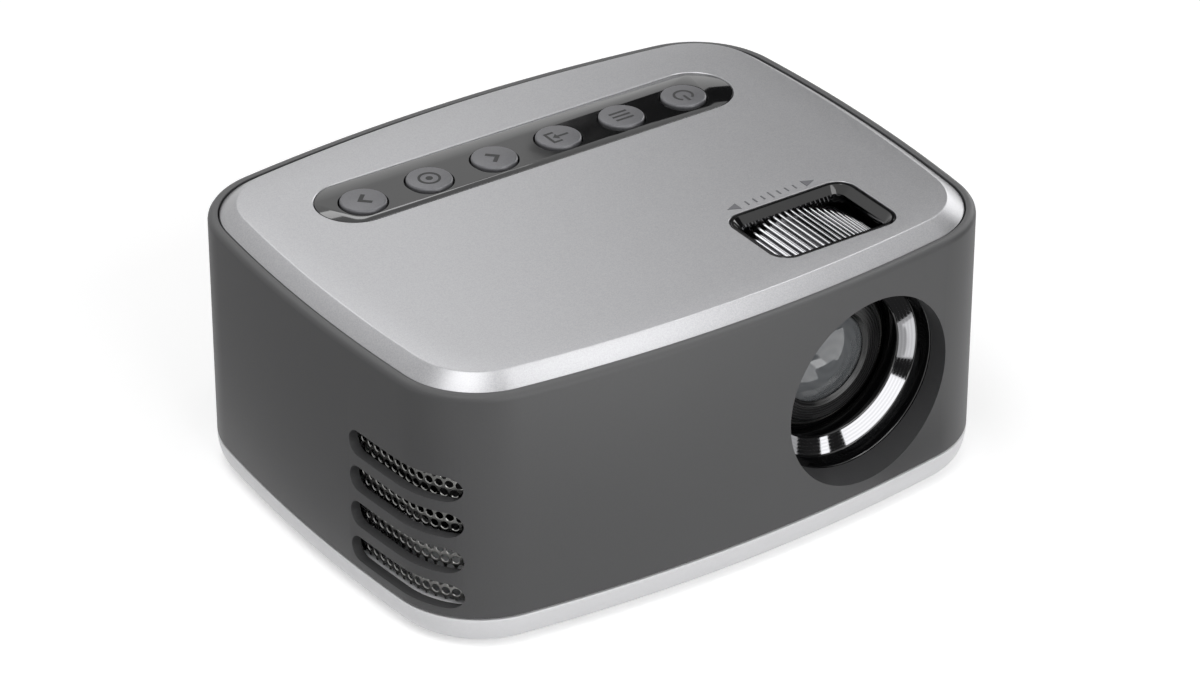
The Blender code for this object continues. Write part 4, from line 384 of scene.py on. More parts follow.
def tower(levels: Sequence[tuple[Sequence[Vector], float]], lay: Matrix = Matrix(),
          closed: bool = False) -> bmesh.types.BMesh:
    """Carry an outline through levels and give it ends.

    Args:
        levels: an outline and its height each, with as many points as the first outline.
        lay: turns and moves the solid into place; its length is along Z before that.
        closed: whether the last level joins the first, which makes a hollow band.

    Returns:
        The closed solid.
    """
    shape = bmesh.new()
    station = shape.verts.layers.int.new("station")
    verts = [shape.verts.new((point.x, point.y, levels[0][1])) for point in levels[0][0]]
    for index, vert in enumerate(verts):
        vert[station] = index
    ring = [shape.edges.new(pair) for pair in zip(verts, verts[1:] + verts[:1])]
    if not closed:
        bmesh.ops.edgeloop_fill(shape, edges=ring)
    for outline, height in list(levels[1:]) + (list(levels[:1]) if closed else []):
        grown = bmesh.ops.extrude_edge_only(shape, edges=ring)["geom"]
        verts = fresh_part(grown, bmesh.types.BMVert)
        fresh = set(verts)
        ring = list({edge for vert in verts for edge in vert.link_edges if fresh.issuperset(edge.verts)})
        for vert in verts:
            vert.co = (*outline[vert[station]], height)
    if not closed:
        bmesh.ops.edgeloop_fill(shape, edges=ring)
    shape.verts.layers.int.remove(station)
    bmesh.ops.transform(shape, matrix=lay, verts=shape.verts)
    return tidy(shape)


def slab(path: Sequence[Vector], lay: Matrix, depth: float) -> bmesh.types.BMesh:
    """Raise a flat path into a solid that grows along the Z of its lay."""
    return tower([(path, 0), (path, depth)], lay)


def brick(low: Sequence[float], high: Sequence[float], edge: float = 0.0) -> bmesh.types.BMesh:
    """Make a block between two corners, with its edges rounded if they have a width.

    Args:
        low: the corner with the lowest coordinates.
        high: the opposite corner.
        edge: width of the rounding, or zero.

    Returns:
        The closed shape.
    """
    shape = bmesh.new()
    low, high = Vector(low), Vector(high)
    bmesh.ops.create_cube(shape, size=1, matrix=Matrix.Translation((low + high) / 2)
                          @ Matrix.Diagonal((*(high - low), 1)))
    return soften(shape, edge) if edge else shape


def rods(places: Iterable[tuple[float, float]], radius: float, bottom: float, top: float,
         steps: int = SMALL_STEPS) -> bmesh.types.BMesh:
    """Upright rods of one size at several places, in one shape.

    Args:
        places: middle of each rod in plan.
        radius: of a rod.
        bottom: height of the lower ends.
        top: height of the upper ends.
        steps: faces round a rod.

    Returns:
        The closed shapes, in one.
    """
    shape = bmesh.new()
    for x, y in places:
        bmesh.ops.create_cone(shape, cap_ends=True, segments=steps, radius1=radius, radius2=radius,
                              depth=top - bottom, matrix=Matrix.Translation((x, y, (top + bottom) / 2)))
    return shape


def add(shape: bmesh.types.BMesh, *others: bmesh.types.BMesh) -> bmesh.types.BMesh:
    """Move other shapes' geometry into a shape.

    Args:
        shape: the shape that grows.
        others: the shapes that go into it, which are freed.

    Returns:
        The first shape.
    """
    for other in others:
        mesh = bpy.data.meshes.new("added")
        other.to_mesh(mesh)
        other.free()
        shape.from_mesh(mesh)
        bpy.data.meshes.remove(mesh)
    return shape


@dataclass(frozen=True)
class Spindle:
    """An axis that pieces are turned on."""

    origin: Vector
    direction: Vector

    def turn(self, corners: Sequence[Corner], steps: int = ROUND_STEPS,
             fillet: int = FILLET_STEPS) -> bmesh.types.BMesh:
        """Spin a profile all the way round.

        Args:
            corners: radius, distance along the axis and rounding of each corner. A profile
                that starts and ends on the axis is open there, another is closed.
            steps: faces round the axis.
            fillet: stretches in each rounding.

        Returns:
            The closed shape.
        """
        closed = not (corners[0][0] == 0 and corners[-1][0] == 0)
        side = self.direction.orthogonal().normalized()
        shape = bmesh.new()
        verts = [shape.verts.new(self.origin + side * radius + self.direction * along)
                 for radius, along in rounded(corners, closed, fillet)]
        pairs = list(zip(verts, verts[1:])) + ([(verts[-1], verts[0])] if closed else [])
        edges = [shape.edges.new(pair) for pair in pairs]
        bmesh.ops.spin(shape, geom=verts + edges, cent=self.origin, axis=self.direction, angle=2 * pi,
                       steps=steps, use_merge=True)
        return tidy(shape)


def upright(x: float, y: float) -> Spindle:
    """An upright axis through a place in the plan."""
    return Spindle(Vector((x, y, 0)), UP)


LENS_AXIS = Spindle(Vector(LENS_CENTRE), FORWARD)


def loose(shape: bmesh.types.BMesh, name: str) -> bpy.types.Object:
    """Put a shape in the scene as an object of its own.

    Args:
        shape: the shape, which is freed.
        name: of the object and its mesh.

    Returns:
        The object.
    """
    mesh = bpy.data.meshes.new(name)
    shape.to_mesh(mesh)
    shape.free()
    thing = bpy.data.objects.new(name, mesh)
    bpy.context.scene.collection.objects.link(thing)
    return thing


def carve(target: bmesh.types.BMesh, *cuts: tuple[str, bmesh.types.BMesh]) -> bmesh.types.BMesh:
    """Cut shapes from a solid or add them to it, in the order given.

    Args:
        target: the solid.
        cuts: the Boolean operation and the shape of each.

    Returns:
        The solid that is left.
    """
    piece = loose(target, "carved")
    tools = []
    for index, (operation, shape) in enumerate(cuts):
        tools.append(loose(shape, f"tool_{index}"))
        cut = piece.modifiers.new(tools[-1].name, 'BOOLEAN')
        cut.operation, cut.solver, cut.object = operation, 'EXACT', tools[-1]
    bpy.context.view_layer.update()
    view = bpy.context.evaluated_depsgraph_get()
    result = bmesh.new()
    result.from_mesh(bpy.data.meshes.new_from_object(piece.evaluated_get(view)))
    for thing in (piece, *tools):
        bpy.data.objects.remove(thing)
    bmesh.ops.remove_doubles(result, verts=result.verts, dist=MERGE)
    return result


def wear(shape: bmesh.types.BMesh, name: str, finish: Finish, body: str = Body.CASE.value,
         replaces: Sequence[str] = (), angle: float = SHARP_ANGLE) -> None:
    """Make a shape a piece: dress it and hang it on what it moves with.

    Args:
        shape: the finished shape, in place.
        name: the piece's name.
        finish: its surface.
        body: the body that it rides on.
        replaces: the solids that it stands for.
        angle: edges that turn more than this stay sharp.
    """
    piece = loose(shape, name)
    piece.data.materials.append(finish.material())
    piece.data.shade_smooth()
    piece.data.set_sharp_from_angle(angle=angle)
    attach(piece, body)
    if replaces:
        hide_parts(*replaces)
    LOG.info("%s: %d faces, rides on %s", name, len(piece.data.polygons), body)


@dataclass
class CaseOutline:
    """The bowed, round-cornered plan of the case."""

    width: float
    depth: float
    front_bow: float = 0.3178
    side_bow: float = 0.3139
    corner: float = 0.0184
    bow_steps: int = 16
    corner_steps: int = 20

    def side_arc(self) -> Vector:
        """Centre of the right wall's arc."""
        return Vector((self.width / 2 - self.side_bow, 0))

    def rear_arc(self) -> Vector:
        """Centre of the rear wall's arc."""
        return Vector((0, self.depth / 2 - self.front_bow))

    def corner_centre(self) -> Vector:
        """Centre of the arc that runs smoothly into the rear and right walls.

        Returns:
            The centre.
        """
        found = intersect_sphere_sphere_2d(self.rear_arc(), self.front_bow - self.corner,
                                           self.side_arc(), self.side_bow - self.corner)
        return max(found, key=lambda point: point.x + point.y)

    def outward(self, point: Vector) -> Vector:
        """Direction square to the wall at a point of the outline.

        Args:
            point: on the outline.

        Returns:
            A direction of length one.
        """
        place = Vector((abs(point.x), abs(point.y)))
        corner = self.corner_centre()
        past_side = (corner - self.side_arc()).cross(place - self.side_arc()) > 0
        past_rear = (corner - self.rear_arc()).cross(place - self.rear_arc()) < 0
        if past_side and past_rear:
            away = place - corner
        elif past_side:
            away = place - self.rear_arc()
        else:
            away = place - self.side_arc()
        away.normalize()
        return Vector((away.x if point.x > 0 else -away.x, away.y if point.y > 0 else -away.y))

    def left_wall(self, y: float, inset: float = 0) -> float:
        """Where the left wall lies at a given y."""
        return -self.side_arc().x - sqrt((self.side_bow - inset) ** 2 - y ** 2)

    def trace(self) -> list[Vector]:
        """Points of the outline, made by spinning one point round each arc in turn.

        Returns:
            The points, counter-clockwise from the middle of the right wall.
        """
        corner, side, rear = self.corner_centre(), self.side_arc(), self.rear_arc()
        side_turn = (corner - side).angle(Vector((1, 0)))
        rear_turn = (corner - rear).angle(Vector((0, 1)))
        arcs = [(side, side_turn, self.bow_steps // 2)]
        for sign_x, sign_y, next_arc, turn in ((1, 1, rear, rear_turn), (-1, 1, -side, side_turn),
                                               (-1, -1, -rear, rear_turn), (1, -1, side, side_turn)):
            arcs.append((Vector((corner.x * sign_x, corner.y * sign_y)), pi / 2 - side_turn - rear_turn,
                         self.corner_steps))
            arcs.append((next_arc, 2 * turn, self.bow_steps))
        arcs[-1] = (side, side_turn, self.bow_steps // 2)
        shape = bmesh.new()
        last: list = [shape.verts.new((self.width / 2, 0, 0))]
        for centre, turn, steps in arcs:
            made = bmesh.ops.spin(shape, geom=last, cent=(*centre, 0), axis=UP, angle=turn, steps=steps)
            last = fresh_part(made["geom_last"], bmesh.types.BMVert)
        points = [vert.co.xy for vert in shape.verts][:-1]
        shape.free()
        return points

    def band(self, corners: Sequence[Corner], closed: bool = False) -> bmesh.types.BMesh:
        """Carry the outline along a profile.

        Args:
            corners: inset from the outline, height and rounding of each corner.
            closed: whether the profile closes to a hollow band; an open one gets two ends.

        Returns:
            The closed shape.
        """
        places = [(point, self.outward(point)) for point in self.trace()]
        return tower([([point - away * inset for point, away in places], height)
                      for inset, height in rounded(corners, closed)], closed=closed)


SHELL_LOW, SHELL_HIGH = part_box("side_shell")
PLATE_LOW, PLATE_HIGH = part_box("top_plate")
OUTLINE = CaseOutline(SHELL_HIGH.x - SHELL_LOW.x, SHELL_HIGH.y - SHELL_LOW.y)
WALL = 0.0019
PLATE_THICK = 0.0024
SKIRT_HEIGHT = 0.0012
LIP_HEIGHT = 0.0020
POST_RADIUS = 0.0034
POST_BORE = 0.0013
PLATE_UNDER = PLATE_HIGH.z - PLATE_THICK
SKIRT_BOTTOM = PLATE_UNDER - SKIRT_HEIGHT
LEDGE_TOP = SKIRT_BOTTOM - GAP
JOINT_Z = SHELL_LOW.z - GAP
LIP_TOP = JOINT_Z + LIP_HEIGHT
# The lay of a flat path whose first coordinate is X and second Z, growing to the rear,
# and of one whose first is Y and second Z, growing to the right.
REAR_LAY = Matrix(((1, 0, 0, 0), (0, 0, 1, 0), (0, 1, 0, 0), (0, 0, 0, 1)))
SIDE_LAY = Matrix(((0, 0, 1, 0), (1, 0, 0, 0), (0, 1, 0, 0), (0, 0, 0, 1)))


def middle(node: str) -> Vector:
    """Middle of a node's box."""
    low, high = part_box(node)
    return (low + high) / 2


def post_places() -> list[tuple[float, float]]:
    """Middles of the four screw posts, over the case screws."""
    return [(middle(f"case_screw_{index + 1}").x, middle(f"case_screw_{index + 1}").y) for index in range(4)]


@dataclass
class Vents:
    """Slots round the front left corner, three more at the rear, and the steel sheet behind."""

    count: int = 4
    pitch: float = 0.00745
    height: float = 0.0052
    lowest: float = 0.0110
    run: float = 0.0126
    turn: float = radians(48)
    rear_x: float = -0.0422
    rear_length: float = 0.0125
    rear_count: int = 3
    hole: float = 0.00072
    hole_pitch: float = 0.0020
    press: float = 0.00012
    sheet_inset: float = 0.00245
    sheet_thick: float = 0.0005
    cut_reach: float = 0.0138

    def levels(self) -> list[float]:
        """Heights of the slots' middles."""
        return [self.lowest + index * self.pitch for index in range(self.count)]

    def cutters(self) -> bmesh.types.BMesh:
        """All the slots as one shape to cut with, rounded at their ends.

        Returns:
            The closed shapes, in one.
        """
        corner = OUTLINE.corner_centre()
        rear_y = self.run - corner.y
        front_y = -corner.y - OUTLINE.corner * sin(self.turn)
        corner_lay = Matrix.Translation((SHELL_LOW.x - OVERRUN, 0, 0)) @ SIDE_LAY
        rear_lay = Matrix.Translation((0, SHELL_HIGH.y + OVERRUN - self.cut_reach, 0)) @ REAR_LAY
        slots = [((rear_y + front_y) / 2, level, rear_y - front_y, corner_lay) for level in self.levels()]
        slots += [(self.rear_x, level, self.rear_length, rear_lay)
                  for level in self.levels()[1:self.rear_count + 1]]
        shape = bmesh.new()
        for across, level, length, lay in slots:
            path = rounded(rectangle((across, level), length, self.height, self.height / 2), steps=END_STEPS)
            add(shape, slab(path, lay, self.cut_reach))
        return shape

    def cell(self) -> bmesh.types.BMesh:
        """One six-sided cell with a round hole, pressed in round its rim.

        Returns:
            The open cell, flat but for the rim.
        """
        shape = bmesh.new()
        bmesh.ops.create_circle(shape, segments=HEX_SIDES, radius=self.hole_pitch / sqrt(3))
        bmesh.ops.subdivide_edges(shape, edges=shape.edges[:], cuts=1)
        rim = bmesh.ops.create_circle(shape, segments=2 * HEX_SIDES, radius=self.hole + self.press)["verts"]
        bmesh.ops.bridge_loops(shape, edges=shape.edges[:])
        edge = bmesh.ops.create_circle(shape, segments=2 * HEX_SIDES, radius=self.hole)["verts"]
        bmesh.ops.translate(shape, verts=edge, vec=(0, 0, self.press))
        loops = [line for line in shape.edges
                 if all(vert in rim for vert in line.verts) or all(vert in edge for vert in line.verts)]
        bmesh.ops.bridge_loops(shape, edges=loops)
        return shape

    def bend(self, along: float, rear: float, press: float) -> Vector:
        """Place in the plan at a distance along the sheet from its rear end, pressed in by a little.

        Args:
            along: distance from the rear end.
            rear: where the rear end lies on Y.
            press: how far the place is pressed in.

        Returns:
            The place in plan.
        """
        corner = -OUTLINE.corner_centre()
        straight = rear - corner.y
        radius = OUTLINE.corner - self.sheet_inset - press
        if along < straight:
            return Vector((OUTLINE.left_wall(rear - along, self.sheet_inset + press), rear - along))
        angle = (along - straight) / (OUTLINE.corner - self.sheet_inset)
        return corner - Vector((cos(angle), sin(angle))) * radius

    def build_sheet(self) -> None:
        """Perforate a flat sheet, trim it, bend it to the wall and thicken it."""
        low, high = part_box("vent_mesh")
        corner = -OUTLINE.corner_centre()
        radius = OUTLINE.corner - self.sheet_inset
        length = high.y - corner.y + radius * acos((corner.x - high.x) / -radius)
        row_pitch = self.hole_pitch * sqrt(3) / 2
        shape = self.cell()
        cell = shape.verts[:] + shape.edges[:] + shape.faces[:]
        for column in range(1, int(length / self.hole_pitch) + 2):
            copy = bmesh.ops.duplicate(shape, geom=cell)["geom"]
            bmesh.ops.translate(shape, verts=fresh_part(copy, bmesh.types.BMVert),
                                vec=(column * self.hole_pitch, 0, 0))
        line = shape.verts[:] + shape.edges[:] + shape.faces[:]
        for row in range(1, int((high.z - low.z) / row_pitch) + 2):
            copy = bmesh.ops.duplicate(shape, geom=line)["geom"]
            bmesh.ops.translate(shape, verts=fresh_part(copy, bmesh.types.BMVert),
                                vec=(row % 2 * self.hole_pitch / 2, row * row_pitch, 0))
        bmesh.ops.translate(shape, verts=shape.verts, vec=(0, low.z, 0))
        bmesh.ops.remove_doubles(shape, verts=shape.verts, dist=MERGE * 5)
        for point, normal in ((Vector((0, low.z, 0)), Vector((0, -1, 0))),
                              (Vector((0, high.z, 0)), Vector((0, 1, 0))),
                              (Vector((OVERRUN / 4, 0, 0)), Vector((-1, 0, 0))),
                              (Vector((length, 0, 0)), Vector((1, 0, 0)))):
            bmesh.ops.bisect_plane(shape, geom=shape.verts[:] + shape.edges[:] + shape.faces[:], dist=MERGE,
                                   plane_co=point, plane_no=normal, clear_outer=True)
        bmesh.ops.recalc_face_normals(shape, faces=shape.faces)
        for vert in shape.verts:
            vert.co = (*self.bend(vert.co.x, high.y, vert.co.z), vert.co.y)
        bmesh.ops.recalc_face_normals(shape, faces=shape.faces)
        bmesh.ops.solidify(shape, geom=shape.faces[:], thickness=self.sheet_thick)
        bmesh.ops.recalc_face_normals(shape, faces=shape.faces)
        wear(shape, "perforated_sheet", MESH_STEEL, replaces=["vent_mesh"])


@dataclass
class SideShell:
    """The dark band round the case, with the lens recess, vents and socket openings."""

    ledge_reach: float = 0.0020
    ledge_thick: float = 0.0012
    rim_fillet: float = 0.0012
    edge: float = 0.0003
    tube_wall: float = 0.0015
    socket_play: float = 0.0004
    socket_corner: float = 0.0006

    def profile(self) -> list[Corner]:
        """Section of the band, from its outer foot over the rim to its inner foot.

        Returns:
            Inset, height and rounding of each corner.
        """
        ledge = WALL + self.ledge_reach
        bottom, top = SHELL_LOW.z, SHELL_HIGH.z
        return [(0, bottom, self.edge), (0, top, self.rim_fillet), (WALL, top, self.edge / 2),
                (WALL, LEDGE_TOP, 0), (ledge, LEDGE_TOP, 0), (ledge, LEDGE_TOP - self.ledge_thick, 0),
                (WALL, LEDGE_TOP - self.ledge_thick - self.ledge_reach, 0), (WALL, bottom, 0)]

    def tube(self) -> bmesh.types.BMesh:
        """The tube behind the lens recess, trimmed to end inside the front wall.

        Returns:
            The closed shape.
        """
        outer = (LENS_HIGH.x - LENS_LOW.x) / 2
        rear, front = GAP - LENS_LOW.y, OUTLINE.depth / 2 + OVERRUN
        tube = LENS_AXIS.turn([(0, front, 0), (outer, front, 0), (outer, rear, 0), (0, rear, 0)], FINE_STEPS)
        limit = OUTLINE.band([(WALL / 2, SHELL_LOW.z + GAP, 0), (WALL / 2, SHELL_HIGH.z - GAP, 0)])
        return carve(tube, ('INTERSECT', limit))

    def bore(self) -> bmesh.types.BMesh:
        """The hole through the front wall and its tube.

        Returns:
            The closed shape.
        """
        inner = (LENS_HIGH.x - LENS_LOW.x) / 2 - self.tube_wall
        rear, front = GAP - LENS_LOW.y - OVERRUN, OUTLINE.depth / 2 + OVERRUN
        return LENS_AXIS.turn([(0, front, 0), (inner, front, 0), (inner, rear, 0), (0, rear, 0)], FINE_STEPS)

    def socket_mouths(self) -> bmesh.types.BMesh:
        """The openings in the rear wall in front of the sockets.

        Returns:
            The closed shapes, in one.
        """
        shape = bmesh.new()
        inner = SHELL_HIGH.y - 2 * WALL - self.socket_play
        lay = Matrix.Translation((0, inner, 0)) @ REAR_LAY
        for node in SOCKET_NODES:
            low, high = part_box(node)
            size = high - low
            path = rounded(rectangle((middle(node).x, middle(node).z), size.x + 2 * self.socket_play,
                                     size.z + 2 * self.socket_play, self.socket_corner))
            add(shape, slab(path, lay, SHELL_HIGH.y + OVERRUN - inner))
        return shape

    def build(self, vents: Vents) -> None:
        """Make the shell and everything cut in it.

        Args:
            vents: the slots that are cut in it.
        """
        posts = rods(post_places(), POST_RADIUS, LIP_TOP + GAP, LEDGE_TOP - self.ledge_reach)
        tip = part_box("case_screw_1")[1].z + OVERRUN
        holes = rods(post_places(), POST_BORE, LIP_TOP - OVERRUN, tip)
        shell = carve(OUTLINE.band(self.profile(), closed=True), ('UNION', posts), ('UNION', self.tube()),
                      ('DIFFERENCE', self.bore()), ('DIFFERENCE', holes),
                      ('DIFFERENCE', vents.cutters()), ('DIFFERENCE', self.socket_mouths()))
        wear(shell, "side_band", SHELL_PLASTIC, replaces=["side_shell"])


SOCKET_NODES = ("hdmi_socket", "usb_socket", "card_slot", "av_jack", "power_jack", "infrared_receiver")


class Sign(Enum):
    """What a key does, which decides the sign on it: the keys from the left."""

    LEFT = "step to the left"
    CONFIRM = "confirm"
    RIGHT = "step to the right"
    SOURCE = "choose the source"
    MENU = "open the menu"
    POWER = "switch on and off"


# Signs are drawn in sign units, to the right and up for a reader who stands behind the case.
CHEVRON = ((-1.0, 0), (0.5, 1.5), (0.95, 1.05), (-0.1, 0), (0.95, -1.05), (0.5, -1.5))
DOOR_BARS = (((0.1, 1.1), (1.7, 1.5)), ((0.1, -1.5), (1.7, -1.1)), ((1.3, -1.1), (1.7, 1.1)),
             ((-1.7, -0.2), (0.1, 0.2)))
DOOR_ARROW = ((0.9, 0), (0.1, 0.75), (0.1, -0.75))
MENU_BARS = (((-1.5, 0.8), (1.5, 1.2)), ((-1.5, -0.2), (1.5, 0.2)), ((-1.5, -1.2), (1.5, -0.8)))
POWER_BAR = (((-0.2, 0.1), (0.2, 1.8)),)


@dataclass
class KeyRow:
    """The glossy strip, its six keys and the signs printed on them."""

    centre_x: float = 0.0013
    centre_y: float = 0.0233
    span: float = 0.0757
    radius: float = 0.0078
    edge: float = 0.00015
    key_radius: float = 0.0044
    key_edge: float = 0.0004
    flange: float = 0.0008
    flange_thick: float = 0.0010
    print_thick: float = 0.00003
    stroke: float = 0.0005
    sink: float = 0.0001
    sign_unit: float = 0.0013
    circle: float = 0.00195
    dot: float = 0.0007
    power_circle: float = 0.0018
    power_gap: float = radians(70)

    def outline(self, grow: float) -> list[Vector]:
        """The strip's outline, grown all round.

        Args:
            grow: how far, less than zero to shrink it.

        Returns:
            The path's points.
        """
        radius = self.radius + grow
        return rounded(rectangle((self.centre_x, self.centre_y), self.span + 2 * radius, 2 * radius, radius),
                       steps=ROUND_STEPS // 2)

    def places(self) -> list[Vector]:
        """Middles of the keys, from the left."""
        return [middle(f"keycap_{index + 1}") for index in range(len(Sign))]

    def pocket(self) -> bmesh.types.BMesh:
        """The strip's place in the cover plate, with its edge broken.

        Returns:
            The closed shape.
        """
        bottom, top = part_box("button_strip")[0].z - GAP, PLATE_HIGH.z
        return tower([(self.outline(0), bottom), (self.outline(0), top - self.edge),
                      (self.outline(self.edge), top), (self.outline(self.edge), top + OVERRUN)])

    def holes(self, bottom: float, top: float) -> bmesh.types.BMesh:
        """Straight holes for the keys."""
        return rods([(place.x, place.y) for place in self.places()], self.key_radius + GAP, bottom, top,
                    ROUND_STEPS)

    def build_strip(self) -> None:
        """Make the strip with a broken upper edge round it and round its holes."""
        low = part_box("button_strip")[0]
        top, gap, edge = PLATE_HIGH.z - self.sink, -GAP / 2, self.edge / 2
        strip = tower([(self.outline(gap), low.z), (self.outline(gap), top - edge),
                       (self.outline(gap - edge / 3), top - edge / 3), (self.outline(gap - edge), top)])
        hole = self.key_radius + GAP
        cutters = bmesh.new()
        for place in self.places():
            add(cutters, upright(place.x, place.y).turn(
                [(0, top + OVERRUN, 0), (hole + edge, top + OVERRUN, 0), (hole + edge, top, 0),
                 (hole, top - edge, 0), (hole, low.z - OVERRUN, 0), (0, low.z - OVERRUN, 0)]))
        wear(carve(strip, ('DIFFERENCE', cutters)), "glossy_strip", GLOSS_ACRYLIC, replaces=["button_strip"])

    def bars(self, place: Vector, corners: Sequence[Sequence[Sequence[float]]]) -> bmesh.types.BMesh:
        """Print bars on a key.

        Args:
            place: middle of the key's top.
            corners: two opposite corners of each bar, in sign units.

        Returns:
            The printed shape.
        """
        shape = bmesh.new()
        for low, high in corners:
            add(shape, brick((place.x - low[0] * self.sign_unit, place.y - low[1] * self.sign_unit, place.z),
                             (place.x - high[0] * self.sign_unit, place.y - high[1] * self.sign_unit,
                              place.z + self.print_thick)))
        return shape

    def polygon(self, place: Vector, points: Sequence[tuple[float, float]]) -> bmesh.types.BMesh:
        """A printed many-sided sign from its corners in sign units."""
        path = [Vector((place.x, place.y)) - Vector(point) * self.sign_unit for point in points]
        return slab(path, Matrix.Translation((0, 0, place.z)), self.print_thick)

    def ring(self, place: Vector, radius: float, gap: float = 0.0) -> bmesh.types.BMesh:
        """Print a ring on a key.

        Args:
            place: middle of the key's top.
            radius: of the ring's middle line.
            gap: the angle that it leaves open, towards the reader's top.

        Returns:
            The printed shape.
        """
        shape = bmesh.new()
        across = Vector((sin(gap / 2), -cos(gap / 2), 0))
        inner, outer = (place + across * (radius + way * self.stroke / 2) for way in (-1, 1))
        verts = [shape.verts.new(point) for point in (inner, outer)]
        edge = shape.edges.new(verts)
        bmesh.ops.spin(shape, geom=[*verts, edge], cent=place, axis=UP, angle=2 * pi - gap,
                       steps=SMALL_STEPS, use_merge=gap == 0)
        bmesh.ops.remove_doubles(shape, verts=shape.verts, dist=MERGE)
        raised = bmesh.ops.extrude_face_region(shape, geom=shape.faces[:])["geom"]
        bmesh.ops.translate(shape, verts=fresh_part(raised, bmesh.types.BMVert), vec=UP * self.print_thick)
        return tidy(shape)

    def sign(self, sign: Sign, place: Vector) -> bmesh.types.BMesh:
        """Print the usual sign for a key's work, with no letters.

        Args:
            sign: what the key does.
            place: middle of the key's top.

        Returns:
            The printed shape.
        """
        top = place.z + self.print_thick
        if sign is Sign.LEFT:
            return self.polygon(place, [(-x, y) for x, y in CHEVRON])
        if sign is Sign.CONFIRM:
            dot = upright(place.x, place.y).turn([(0, top, 0), (self.dot, top, 0), (self.dot, place.z, 0),
                                                  (0, place.z, 0)], SMALL_STEPS)
            return add(self.ring(place, self.circle), dot)
        if sign is Sign.RIGHT:
            return self.polygon(place, CHEVRON)
        if sign is Sign.SOURCE:
            return add(self.bars(place, DOOR_BARS), self.polygon(place, DOOR_ARROW))
        if sign is Sign.MENU:
            return self.bars(place, MENU_BARS)
        return add(self.ring(place, self.power_circle, self.power_gap), self.bars(place, POWER_BAR))

    def build_keys(self) -> None:
        """Make each cap with a rounded rim and print its sign."""
        flange = self.key_radius + self.flange
        for index, (sign, place) in enumerate(zip(Sign, self.places())):
            body = f"key_{index + 1}"
            node = f"keycap_{index + 1}"
            low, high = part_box(node)
            top = high.z - self.print_thick
            flange_top = low.z + self.flange_thick
            cap = upright(place.x, place.y).turn(
                [(0, top, 0), (self.key_radius, top, self.key_edge), (self.key_radius, flange_top, 0),
                 (flange, flange_top, 0), (flange, low.z, 0), (0, low.z, 0)])
            wear(cap, f"{body}_cap", KEY_LACQUER, body, [node])
            wear(self.sign(sign, Vector((place.x, place.y, top))), f"{body}_sign", PRINT_INK, body)


@dataclass
class FocusSlot:
    """The slot over the wheel: its frame and the marks printed beside it."""

    centre_x: float = 0.0287
    centre_y: float = -0.02915
    width: float = 0.0279
    depth: float = 0.0189
    corner: float = 0.0040
    sink: float = 0.0001
    rim: float = 0.0006
    draft_x: float = 0.0013
    draft_y: float = 0.0009
    height: float = 0.0015
    flange: float = 0.0018
    edge: float = 0.00008
    print_thick: float = 0.00006
    mark_gap: float = 0.0021
    mark_shift: float = -0.0010
    mark_reach: float = 0.0098
    head_length: float = 0.0024
    head_half: float = 0.0011
    ticks: int = 7
    tick_pitch: float = 0.0018
    tick_half_width: float = 0.00015
    tick_half: float = 0.0007
    middle_tick_half: float = 0.0011

    def outline(self, grow_x: float, grow_y: float) -> list[Vector]:
        """The slot's outline, grown across and along.

        Args:
            grow_x: how far across.
            grow_y: how far along.

        Returns:
            The path's points.
        """
        return rounded(rectangle((self.centre_x, self.centre_y), self.width + 2 * grow_x,
                                 self.depth + 2 * grow_y, self.corner + min(grow_x, grow_y)),
                       steps=END_STEPS)

    def opening(self) -> bmesh.types.BMesh:
        """The hole in the cover plate, with its upper edge broken.

        Returns:
            The closed shape.
        """
        top = PLATE_HIGH.z
        return tower([(self.outline(0, 0), PLATE_UNDER - OVERRUN), (self.outline(0, 0), top - self.edge),
                      (self.outline(self.edge, self.edge), top),
                      (self.outline(self.edge, self.edge), top + OVERRUN)])

    def build_frame(self) -> None:
        """Make the sloping frame, with a flange under the plate."""
        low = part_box("focus_bezel")[0].z
        top = PLATE_HIGH.z - self.sink
        flange_top = PLATE_UNDER - GAP
        inner = -GAP - self.rim
        levels = [(-GAP, -GAP, flange_top), (-GAP, -GAP, top - self.edge),
                  (-GAP - self.edge, -GAP - self.edge, top), (inner + self.edge, inner + self.edge, top),
                  (inner, inner, top - self.edge),
                  (inner - self.draft_x, inner - self.draft_y, top - self.height), (inner, inner, low),
                  (self.flange, self.flange, low), (self.flange, self.flange, flange_top)]
        frame_shape = tower([(self.outline(x, y), z) for x, y, z in levels], closed=True)
        wear(frame_shape, "focus_slot_frame", GLOSS_ACRYLIC, replaces=["focus_bezel"])

    def build_marks(self) -> None:
        """Print two arrowheads with tick marks between them beside the slot."""
        x, z = self.centre_x + self.mark_shift, PLATE_HIGH.z
        y = self.centre_y + self.depth / 2 + self.mark_gap
        shape = bmesh.new()
        for way in (-1, 1):
            tip = Vector((x + way * self.mark_reach, y))
            root = tip.x - way * self.head_length
            path = [tip, Vector((root, y + self.head_half)), Vector((root, y - self.head_half))]
            add(shape, slab(path, Matrix.Translation((0, 0, z)), self.print_thick))
        for step in range(-(self.ticks // 2), self.ticks // 2 + 1):
            place = x + step * self.tick_pitch
            half = self.tick_half if step else self.middle_tick_half
            add(shape, brick((place - self.tick_half_width, y - half, z),
                             (place + self.tick_half_width, y + half, z + self.print_thick)))
        wear(shape, "focus_marks", GREY_INK)


